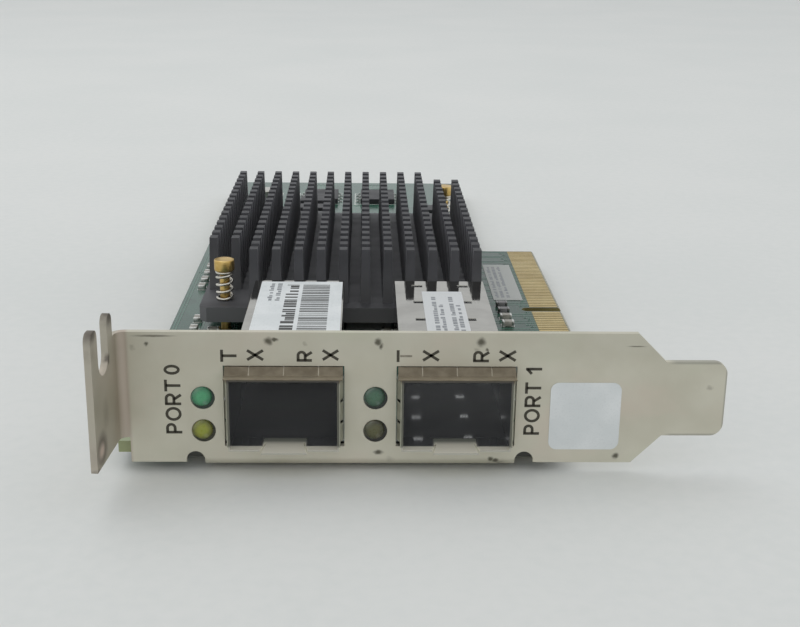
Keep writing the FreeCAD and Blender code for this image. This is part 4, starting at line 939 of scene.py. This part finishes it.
def print_labels():
    """Greeked lines and plain bars on the paper labels."""
    code, bold_line, fine_lines = (-10.4, -6.2), (-12.9, -11.0), ((-15.6, -14.9), (-14.4, -13.7))
    type_size, line_step, board_type_size = 0.65, 0.95, 0.6
    black, grey, board = on_board(INK, LABEL_TOP), on_board(INK, LABEL_TOP), on_board(INK, BOARD_LABEL_TOP)
    v, code_end = 12.2, 40.4
    while v < code_end:
        width = DICE.choice((0.16, 0.16, 0.3, 0.45))
        black.bar(*code, v, v + width)
        v += width + DICE.choice((0.22, 0.22, 0.4, 0.55))
    greek(black, *bold_line, 13.4, 40.2)
    for line in fine_lines:
        greek(grey, *line, 31.7, 41.0)
    grey.bar(-15.9, -14.6, 11.9, 12.8)
    black.bar(-12.9, -11.9, 11.9, 12.6)
    for left in (9.4, 12.0):
        greek(grey, left, left + type_size, 12.6, 34.0)
        greek(grey, left + line_step, left + line_step + type_size, 12.6, 30.0)
    for left in (22.9, 23.9, 24.9):
        greek(board, left, left + board_type_size, 66.0, 86.5)
    black.place("label_type", LABEL_PRINT, "connector_black")
    grey.place("label_grey_type", GREY_PRINT, "connector_black")
    board.place("board_label_type", GREY_PRINT, "connector_black")


def lanes(relief, vias, first, count, start, end, jog):
    """Parallel tracks along v from start to end with one slanted jog, and a via at each end."""
    jog_share, via_stagger = 0.4, 0.55
    turn = start + (end - start) * jog_share
    path = [(first, start), (first, turn), (first + jog, turn + abs(jog)), (first + jog, end)]
    for lane in range(count):
        line = shifted(path, -lane * LANE_PITCH)
        stagger = Vector((0, via_stagger * (lane % 2)))
        line[0] += stagger
        line[-1] -= stagger
        relief.track(line, LANE_WIDTH)
        vias.extend((line[0], line[-1]))


def drill(vias, rings, holes):
    """A ring and a dark hole at each via."""
    hole, ring = 0.14, 0.3
    for u, v in vias:
        rings.ring(u, v, hole, ring)
        holes.disc(u, v, hole, count=10)


def pads_round(relief, node, across=PAD_MARGIN, along=PAD_MARGIN):
    """A pad under each solid of a node, reaching out round it."""
    for low, high in solids(node):
        relief.bar(low.x - across, high.x + across, low.y - along, high.y + along)


def make_component_side():
    """Tracks, vias, pads and print on the component face."""
    tracks, rings, holes = on_board(COPPER), on_board(VIA_RING), on_board(COPPER)
    pads, silk = on_board(PAD), on_board(INK)
    vias = []
    # First lane, number of lanes, start, end and jog
    runs = [
        (-32.4, 2, 44, 138, 0.3), (-28.6, 3, 38, 112, 0.8), (-31.6, 6, 16, 43, 2.0),
        (19.8, 5, 4, 43, 1.5), (24.6, 4, 6, 44, -1.0), (-6.2, 10, 112, 140, 1.2),
        (-20.6, 6, 112, 146, 1.0), (18.6, 5, 112, 160, 0.8), (3.4, 6, 113, 139, -1.0),
        (-14.0, 9, 153.5, 163, 0.8), (0.5, 9, 153.5, 163, -0.6),
    ]
    for run in runs:
        lanes(tracks, vias, *run)
    near, far, stagger = 27.4, 20.0, 0.6
    for index, (low, high) in enumerate(solids("edge_contacts_component_side")):
        middle = (low.y + high.y) / 2
        reach = far if index % 4 < 2 else near - stagger * (index % 2)
        tracks.track([(low.x, middle), (reach, middle)], CONTACT_TRACK)
        vias.append((reach, middle))
    pads_round(pads, "component_side_end_caps")
    lead_across, lead_along = 0.15, 0.1
    for node in ("memory_chip_leads", "regulator_leads"):
        pads_round(pads, node, lead_across, lead_along)
    edge, lead_room, dot = 0.5, 1.4, 0.28
    for node in ("memory_chips", "regulator_chips", "power_inductors", "bulk_capacitors"):
        side = lead_room if "chips" in node else edge
        for low, high in solids(node):
            silk.frame(low.x - side, high.x + side, low.y - edge, high.y + edge, OUTLINE)
            silk.disc(low.x - side + 0.1, low.y - 2 * edge, dot)
    low, high = box_mm("clock_oscillator")
    silk.frame(low.x - edge, high.x + edge, low.y - edge, high.y + edge, OUTLINE)
    # White print between the cages, painted light in the shade under the sink's front edge
    painted_light_field = (-3.8, 3.8, 38.0, 53.0)
    silk.bar(*painted_light_field)
    drill(vias, rings, holes)
    tracks.place("component_side_tracks", MASK_OVER_COPPER, "board_green")
    rings.place("component_side_vias", MASK_OVER_COPPER, "board_green")
    holes.place("component_side_drills", DRILL, "board_green")
    pads.place("component_side_pads", FINISH["lead_tin"], "lead_tin")
    silk.place("component_side_print", SILK, "label_white")


def make_solder_side():
    """Tracks, vias, pads and solder joints on the solder face."""
    tracks, rings, holes = under_board(COPPER), under_board(VIA_RING), under_board(COPPER)
    pads = under_board(PAD)
    vias = []
    column, last_column, spacing = -31.0, 18.0, 1.4
    while column < last_column:
        count = DICE.randint(3, 6)
        jog = DICE.choice((-1.2, -0.8, 0.8, 1.2))
        room = (count - 1) * LANE_PITCH + abs(jog) + spacing
        start, end = DICE.uniform(17, 40), DICE.uniform(118, 160)
        lanes(tracks, vias, column + max(-jog, 0.0), count, start, end, jog)
        column += room
    far, stagger = 25.6, 1.1
    for index, (low, high) in enumerate(solids("edge_contacts_solder_side")):
        middle = (low.y + high.y) / 2
        reach = far + stagger * (index % 3)
        tracks.track([(low.x, middle), (reach, middle)], CONTACT_TRACK)
        vias.append((reach, middle))
    pads_round(pads, "solder_side_end_caps")
    drill(vias, rings, holes)
    tracks.place("solder_side_tracks", MASK_OVER_COPPER, "board_green")
    rings.place("solder_side_vias", MASK_OVER_COPPER, "board_green")
    holes.place("solder_side_drills", DRILL, "board_green")
    pads.place("solder_side_pads", FINISH["lead_tin"], "lead_tin")
    joints = bmesh.new()
    fillet = [(0, 0), (0.75, 0), (0.68, 0.12), (0.45, 0.25), (0.34, 0.36), (0, 0.38)]
    places = [((low.x + high.x) / 2, (low.y + high.y) / 2) for low, high in solids("lamp_leads")]
    for port in (0, 1):
        low, high = box_mm(f"module_cage_{port}")
        for wall in (low.x + CAGE_SHEET / 2, high.x - CAGE_SHEET / 2):
            places.extend((wall, row) for row in CAGE_PIN_ROWS)
    for u, v in places:
        turned(joints, fillet, (u, v, BOARD_UNDER), -Z, count=16)
    add_piece("solder_joints", joints, FINISH["lead_tin"])


def set_stage():
    """Pale floor and soft even light."""
    air_under, reach = 0.9 * MM, 4.0
    level = CAD_BOX[0].z - air_under
    sheet = bpy.data.meshes.new("floor")
    sheet.from_pydata([(-reach, -reach, level), (reach, -reach, level), (reach, reach, level),
                       (-reach, reach, level)], [], [(0, 1, 2, 3)])
    floor = bpy.data.objects.new("floor", sheet)
    bpy.context.scene.collection.objects.link(floor)
    paper = moulded("floor", (214, 216, 213), (219, 220, 217), (0.7, 0.8), patch=60.0, grain=2.0, depth=0.01)
    sheet.materials.append(paper.material)
    world = bpy.data.worlds.new("studio")
    world.use_nodes = True
    sky = world.node_tree.nodes["Background"]
    sky.inputs["Color"].default_value = (0.96, 0.98, 1.0, 1.0)
    sky.inputs["Strength"].default_value = 0.8
    bpy.context.scene.world = world
    bpy.context.scene.view_settings.view_transform = "Standard"
    # Place and side in metres, and power in watts
    softboxes = {"ceiling": ((-0.25, 0.3, 0.7), 0.6, 1.0), "front": ((-0.15, -0.8, 0.5), 0.9, 0.4)}
    aim = Vector((0, 0.05, 0))
    for name, (spot, side, power) in softboxes.items():
        lamp = bpy.data.lights.new(name, "AREA")
        lamp.size = side
        lamp.energy = power
        softbox = bpy.data.objects.new(name, lamp)
        softbox.location = spot
        softbox.rotation_euler = (aim - softbox.location).to_track_quat("-Z", "Y").to_euler()
        bpy.context.scene.collection.objects.link(softbox)


def set_camera():
    """The camera solved from the photograph, in pixels of its 800 wide frame."""
    image_width, focal_pixels, sensor = 800, 1276.04, 36.0
    pitch, yaw, roll = 0.30838, 0.03029, 0.01375
    place = Vector((-0.98, -153.47, 66.92))
    forward = Vector((math.sin(yaw) * math.cos(pitch), math.cos(yaw) * math.cos(pitch), -math.sin(pitch)))
    level = Vector((math.cos(yaw), -math.sin(yaw), 0))
    upward = level.cross(forward)
    right = level * math.cos(roll) + upward * math.sin(roll)
    up = upward * math.cos(roll) - level * math.sin(roll)
    lens = bpy.data.cameras.new("camera")
    lens.sensor_fit = "HORIZONTAL"
    lens.sensor_width = sensor
    lens.lens = focal_pixels / image_width * sensor
    lens.clip_start = 0.01
    camera = bpy.data.objects.new("camera", lens)
    camera.matrix_world = Matrix((right, up, -forward)).transposed().to_4x4()
    camera.location = place * MM
    bpy.context.scene.collection.objects.link(camera)
    bpy.context.scene.camera = camera


dress_nodes()
make_lamps()
make_splits()
make_springs()
print_bracket()
print_labels()
make_component_side()
make_solder_side()
set_stage()
set_camera()
